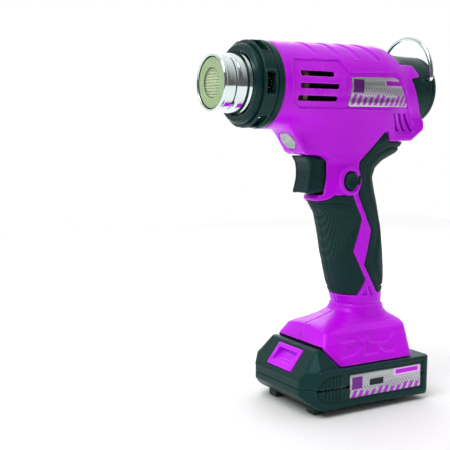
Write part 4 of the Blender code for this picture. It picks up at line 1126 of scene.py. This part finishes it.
def frame_edge(space):
    """The side frame stands proud, with a rounded front top corner."""
    low, high, front, rear, corner = 5.2, 32.4, -25.0, 72.4, 7.0
    dy = np.maximum(front - space.y, space.y - rear + 1.4 - corner)
    dz = np.abs(space.z - (low + high) / 2) - (high - low) / 2
    return rounded(dy, dz, corner)


def pack_sides(space, body):
    """Cut the recesses and the frame line into both sides."""
    near = np.clip((np.abs(space.x) - 33.0) / 0.5, 0.0, 1.0)
    lines = 0.45 * np.exp(-(frame_edge(space) / 0.45) ** 2)
    return body + near * (side_carving(space) + lines)


def build_lower_case():
    """The battery's tray."""
    space = Space((-37.8, -33.0, 2.6), (37.8, 78.8, 20.0), PACK_STEP)
    y, z = space.y, space.z
    low = underside(y)
    slant = (5.6 + 0.83 * (-21.1 - y) - z) * 0.77
    body = meet(plan_field(space), low - z, 1.6)
    body = meet(body, slant, 0.8)
    rib = box_field(space, (-30.0, 70.0, 12.4), (30.0, 77.6, 24.0), 1.0)
    body = join(body, rib, 0.8)
    body = meet(body, z - PACK_SPLIT)
    body = pack_sides(space, body)
    hollow = meet(meet(plan_field(space, 2.4, 1.5, 1), 8.2 - z), z - 30.0)
    hollow = meet(hollow, slant + 2.4)
    body = take(body, hollow)
    moulding("battery_tray", space, body, CASE.material, "battery", ("battery_lower_case",))


def nose_field(space):
    """The wedge in front of the handle's foot."""
    x, y, z = np.abs(space.x), space.y, space.z
    share = np.clip((z - 30.9) / (NOSE_TOP - 30.9), 0.0, 1.0)
    front = -31.75 + (-18.6 + 31.75) * share
    wide = 26.0 + (25.2 - 26.0) * share
    corner_x = 36.65 + (26.0 - 36.65) * share
    corner_y = -21.1 + (-16.9 + 21.1) * share
    back = -3.6 + (-14.0 + 3.6) * share
    slope_front = front - y
    ex, ey = corner_x - wide, corner_y - front
    size = np.sqrt(ex * ex + ey * ey)
    chamfer = ((x - wide) * ey - (y - front) * ex) / size
    rear_x = corner_x - 1.0 * (1.0 - share)
    gx, gy = rear_x - corner_x, back - corner_y
    size = np.sqrt(gx * gx + gy * gy)
    flank = ((x - corner_x) * gy - (y - corner_y) * gx) / size
    body = np.maximum(np.maximum(slope_front, chamfer), np.maximum(flank, y - back))
    body = np.maximum(body, z - NOSE_TOP)
    return np.maximum(body * 0.8, 24.0 - z)


def build_upper_case():
    """The battery's lid with its nose, rails and latch pocket."""
    space = Space((-37.8, -33.0, 18.2), (37.8, 78.8, 45.2), PACK_STEP)
    z = space.z
    body = meet(plan_field(space), z - PACK_DECK, 1.3)
    body = join(body, nose_field(space), 0.9)
    body = meet(body, np.abs(space.x) - 36.65)
    body = join(body, box_field(space, (-21.0, -10.0, 28.0), (21.0, 57.0, 42.0), 0.4), 0.5)
    body = join(body, box_field(space, (-24.6, -10.1, 39.5), (24.6, 56.9, 43.4), 0.5))
    body = join(body, box_field(space, (-30.0, 70.0, 14.0), (30.0, 77.6, 27.2), 1.0), 0.8)
    v, out = along_slope(space)
    body = meet(body, out - 0.05, 1.2)
    body = pack_sides(space, body)
    body = meet(body, 19.3 - z)
    hollow = meet(meet(plan_field(space, 2.4, 1.5, 1), 10.0 - z), z - 29.0)
    body = take(body, hollow)
    for x in (-12.0, 0.0, 12.0):
        body = take(body, box_field(space, (x - 1.0, 24.0, 35.0), (x + 1.0, 70.0, 50.0), 0.3), 0.4)
    pocket = np.maximum(np.abs(space.x) - 14.35, np.abs(v) - 8.95)
    pocket = meet(pocket, -9.0 - out)
    body = take(body, pocket, 0.6)
    moulding("battery_lid", space, body, CASE.material, "battery", ("battery_upper_case",))


def build_latch():
    """The release latch with its finger scoop and three steps."""
    space = Space((-15.0, -35.6, 25.4), (15.0, -13.8, 43.8), 0.3)
    v, out = along_slope(space)
    edge = np.maximum(np.abs(space.x) - 14.0, np.abs(v) - 8.6)
    body = meet(meet(edge, out - 0.6, 1.0), -4.2 - out)
    scoop = np.maximum(np.abs(space.x) - 10.8, np.abs(v + 0.4) - 5.6)
    steps = np.full_like(v, -3.4)
    for i in range(3):
        steps = np.maximum(steps, np.where(v < 1.4 - 2.3 * i, -2.4 + 1.0 * i, -9.0))
    floor = np.where(v < -4.6, 0.6, steps)
    body = take(body, meet(scoop, floor - out), 0.5)
    moulding("battery_latch_button", space, body, PINK.material, "latch", ("battery_latch",))


def build_feet():
    """Rubber feet under the battery."""
    for end, x, y, half in (("front", 22.4, -15.0, 4.6), ("rear", 13.0, 62.0, 3.6)):
        for side, sign in (("left", 1.0), ("right", -1.0)):
            top = underside(y + half) - 0.3
            at = x * sign
            out = half + 0.9
            space = Space((at - out, y - out, -0.9), (at + out, y + out, 6.2), 0.3)
            body = box_field(space, (at - half, y - half, 0.0), (at + half, y + half, top), 1.2)
            moulding(f"foot_{end}_{side}", space, body, FOOT.material, "battery",
                     (f"battery_foot_{end}_{side}",))


def plate_look(name, bands, bars):
    """A brushed silver plate with slanting stripes, a coloured bar and a dotted field."""
    look = Look(name, (0.48, 0.50, 0.50), 0.32, 0.75)
    _, y, z = look.axes()
    low, high, start, end = bands
    u = look.span(y, start, end, 0.0, 1.0)
    v = look.span(z, low, high, 0.0, 1.0)
    brushed = look.noise(500.0, 2.0, (1.0, 0.04, 1.0))
    silver = look.blend(look.span(brushed, 0.3, 0.7, 0.0, 1.0), (0.36, 0.39, 0.38),
                        (0.62, 0.66, 0.64))
    slant = look.math("ADD", look.times(u, 23.0), look.times(v, -3.5))
    stripe = look.math("GREATER_THAN", look.math("SINE", look.times(slant, 3.1)), -0.3)
    wave = look.math("SINE", look.times(u, 17.0))
    top = look.math("ADD", 0.36, look.times(wave, 0.05))
    lower = look.between(v, 0.08, top)
    colour = look.blend(look.times(lower, look.times(stripe, 0.95)), silver,
                        (0.45, 0.02, 0.62))
    dots_u = look.math("SINE", look.times(u, 150.0))
    dots_v = look.math("SINE", look.times(v, 34.0))
    dots = look.math("GREATER_THAN", look.times(dots_u, dots_v), 0.25)
    field = look.between(v, top, 0.62)
    colour = look.blend(look.times(look.times(dots, field), 0.7), colour,
                        (0.30, 0.06, 0.46))
    for left, right, bottom, upper, paint in bars:
        inside = look.times(look.between(u, left, right), look.between(v, bottom, upper))
        colour = look.blend(inside, colour, paint)
    look.paint(colour)
    look.bump(brushed, 0.000006)
    return look


def build_barrel_plates():
    """The printed plates on the barrel's sides."""
    look = plate_look("barrel_plate", (0.2034, 0.2246, 0.004, 0.058),
                      ((0.52, 0.84, 0.66, 0.88, (0.86, 0.50, 0.90)),
                       (0.55, 0.81, 0.70, 0.84, (0.52, 0.02, 0.70)),
                       (0.04, 0.20, 0.45, 0.86, (0.20, 0.03, 0.30))))
    space = Space((14.0, 0.8, 202.0), (31.0, 60.0, 226.2), 0.36)
    skin_field = outer_field(space)[0]
    line = flat_distance(space.y, space.z, ((5.4, 222.8), (41.0, 223.8), (45.4, 222.4),
                                            (57.8, 205.4), (56.6, 204.4), (4.4, 203.7),
                                            (3.0, 205.0)), 1)
    body = meet(meet(skin_field + 1.05, -(skin_field + 1.7)), line, 0.2)
    mirrored_pair("barrel_plate_{}", space, body, look.material, "side_plate_{}")


def build_pack_plates():
    """The printed plates on the battery's sides."""
    look = plate_look("pack_plate", (0.008, 0.0265, 0.003, 0.0665),
                      ((0.60, 0.98, 0.70, 0.98, (0.86, 0.50, 0.90)),
                       (0.63, 0.95, 0.76, 0.92, (0.52, 0.02, 0.70)),
                       (0.03, 0.17, 0.45, 0.90, (0.20, 0.03, 0.30)),
                       (0.27, 0.46, 0.50, 0.74, (0.02, 0.02, 0.03))))
    space = Space((34.6, 0.6, 6.4), (37.4, 69.0, 28.8), 0.4)
    corners = ((3.0, 26.6), (66.2, 26.2), (66.6, 10.2), (3.4, 10.6))
    line = flat_distance(space.y, space.z, corners, 1)
    body = meet(line, np.abs(space.x - 35.65) - 0.35, 0.2)
    mirrored_pair("pack_plate_{}", space, body, look.material, "battery_plate_{}")


build_grips()
build_collar()
build_guard()
build_nozzle()
build_outlet()
build_rear_cap()
build_hook()
build_trigger()
build_lock_button()
build_light()
build_lower_case()
build_upper_case()
build_latch()
build_feet()
build_barrel_plates()
build_pack_plates()


# ------------------------------------------------------------------- the scene

CAD_LOOKS = {
    "steel": STEEL, "spring_steel": SPRING, "bronze": BRONZE, "heating_wire": HEATER,
    "mica": MICA, "circuit_board": BOARD, "cell_wrap": WRAP, "black_plastic": BLACK,
    "foot_rubber": FOOT, "chrome": CHROME, "hook_wire": CHROME, "ceramic": CERAMIC,
    "grip_rubber": RUBBER, "battery_plastic": CASE, "battery_plate": CASE,
    "housing_plastic": PINK, "latch_plastic": PINK, "lens": CERAMIC, "side_plate": STEEL,
}


def dress_cad_nodes():
    """Give every CAD node that still shows its procedural material."""
    for row in frame["record"]["subparts"]:
        obj = NODES[row["node"]]
        look = CAD_LOOKS[row["material_slot"]].material
        if not obj.data.materials:
            obj.data.materials.append(look)
        for i in range(len(obj.material_slots)):
            obj.material_slots[i].material = look


def area_light(name, place_at, target, size, power, colour=(1.0, 1.0, 1.0)):
    """A soft rectangular light that looks at a point."""
    data = bpy.data.lights.new(name, "AREA")
    data.shape = "RECTANGLE"
    data.size = size[0]
    data.size_y = size[1]
    data.energy = power
    data.color = colour
    obj = bpy.data.objects.new(name, data)
    bpy.context.scene.collection.objects.link(obj)
    obj.location = place_at
    toward = Vector(target) - Vector(place_at)
    obj.rotation_euler = toward.to_track_quat("-Z", "Y").to_euler()


def studio_world():
    """Pale backdrop for the camera; for light and reflections, a bright far side and top."""
    world = bpy.data.worlds.new("studio")
    world.use_nodes = True
    nodes, links = world.node_tree.nodes, world.node_tree.links
    shade = nodes["Background"]
    shade.inputs["Color"].default_value = (1.0, 1.0, 1.0, 1.0)
    coords = nodes.new("ShaderNodeTexCoord")
    toward = nodes.new("ShaderNodeVectorMath")
    toward.operation = "DOT_PRODUCT"
    toward.inputs[1].default_value = (-0.72, 0.43, 0.55)
    links.new(coords.outputs["Generated"], toward.inputs[0])
    ramp = nodes.new("ShaderNodeMapRange")
    ramp.inputs["From Min"].default_value = -0.35
    ramp.inputs["From Max"].default_value = 0.75
    ramp.inputs["To Min"].default_value = 0.12
    ramp.inputs["To Max"].default_value = 1.0
    links.new(toward.outputs["Value"], ramp.inputs["Value"])
    path = nodes.new("ShaderNodeLightPath")
    choose = nodes.new("ShaderNodeMix")
    links.new(path.outputs["Is Camera Ray"], choose.inputs["Factor"])
    links.new(ramp.outputs["Result"], choose.inputs["A"])
    choose.inputs["B"].default_value = 1.0
    links.new(choose.outputs["Result"], shade.inputs["Strength"])
    bpy.context.scene.world = world


def build_stage():
    """A pale floor, a soft studio and the camera."""
    mesh = bpy.data.meshes.new("floor")
    bm = bmesh.new()
    bmesh.ops.create_grid(bm, x_segments=1, y_segments=1, size=1.0)
    bm.to_mesh(mesh)
    bm.free()
    floor = bpy.data.objects.new("floor", mesh)
    bpy.context.scene.collection.objects.link(floor)
    floor.location = (0.0, 0.0, -0.0001)
    paper = Look("floor_paper", (0.94, 0.94, 0.94), 0.9, specular=0.2)
    paper.bump(paper.noise(400.0, 3.0), 0.00002)
    mesh.materials.append(paper.material)
    studio_world()
    middle = (0.0, 0.0, 0.14)
    sun = bpy.data.lights.new("sky_panel", "SUN")
    sun.energy = 1.3
    sun.angle = math.radians(35.0)
    panel = bpy.data.objects.new("sky_panel", sun)
    bpy.context.scene.collection.objects.link(panel)
    panel.rotation_euler = Vector((-0.25, 0.62, -1.0)).to_track_quat("-Z", "Y").to_euler()
    area_light("key", (0.10, -0.80, 0.75), middle, (0.5, 0.35), 1.6)
    area_light("rim", (-0.70, 0.45, 0.55), middle, (0.5, 0.5), 1.5)
    data = bpy.data.cameras.new("camera")
    data.lens = 68.44
    data.sensor_width = 36.0
    data.clip_start = 0.02
    camera = bpy.data.objects.new("camera", data)
    bpy.context.scene.collection.objects.link(camera)
    azimuth, elevation, roll = math.radians(59.08), math.radians(6.44), math.radians(0.56)
    back = Vector((math.sin(azimuth) * math.cos(elevation),
                   -math.cos(azimuth) * math.cos(elevation), math.sin(elevation)))
    across = Vector((math.cos(azimuth), math.sin(azimuth), 0.0))
    up = back.cross(across)
    right = across * math.cos(roll) + up * math.sin(roll)
    top = up * math.cos(roll) - across * math.sin(roll)
    turn = Matrix((right, top, back)).transposed().to_4x4()
    camera.matrix_world = Matrix.Translation((0.4679, -0.3538, 0.1889)) @ turn
    bpy.context.scene.camera = camera
    bpy.context.scene.view_settings.view_transform = "Standard"


dress_cad_nodes()
build_stage()
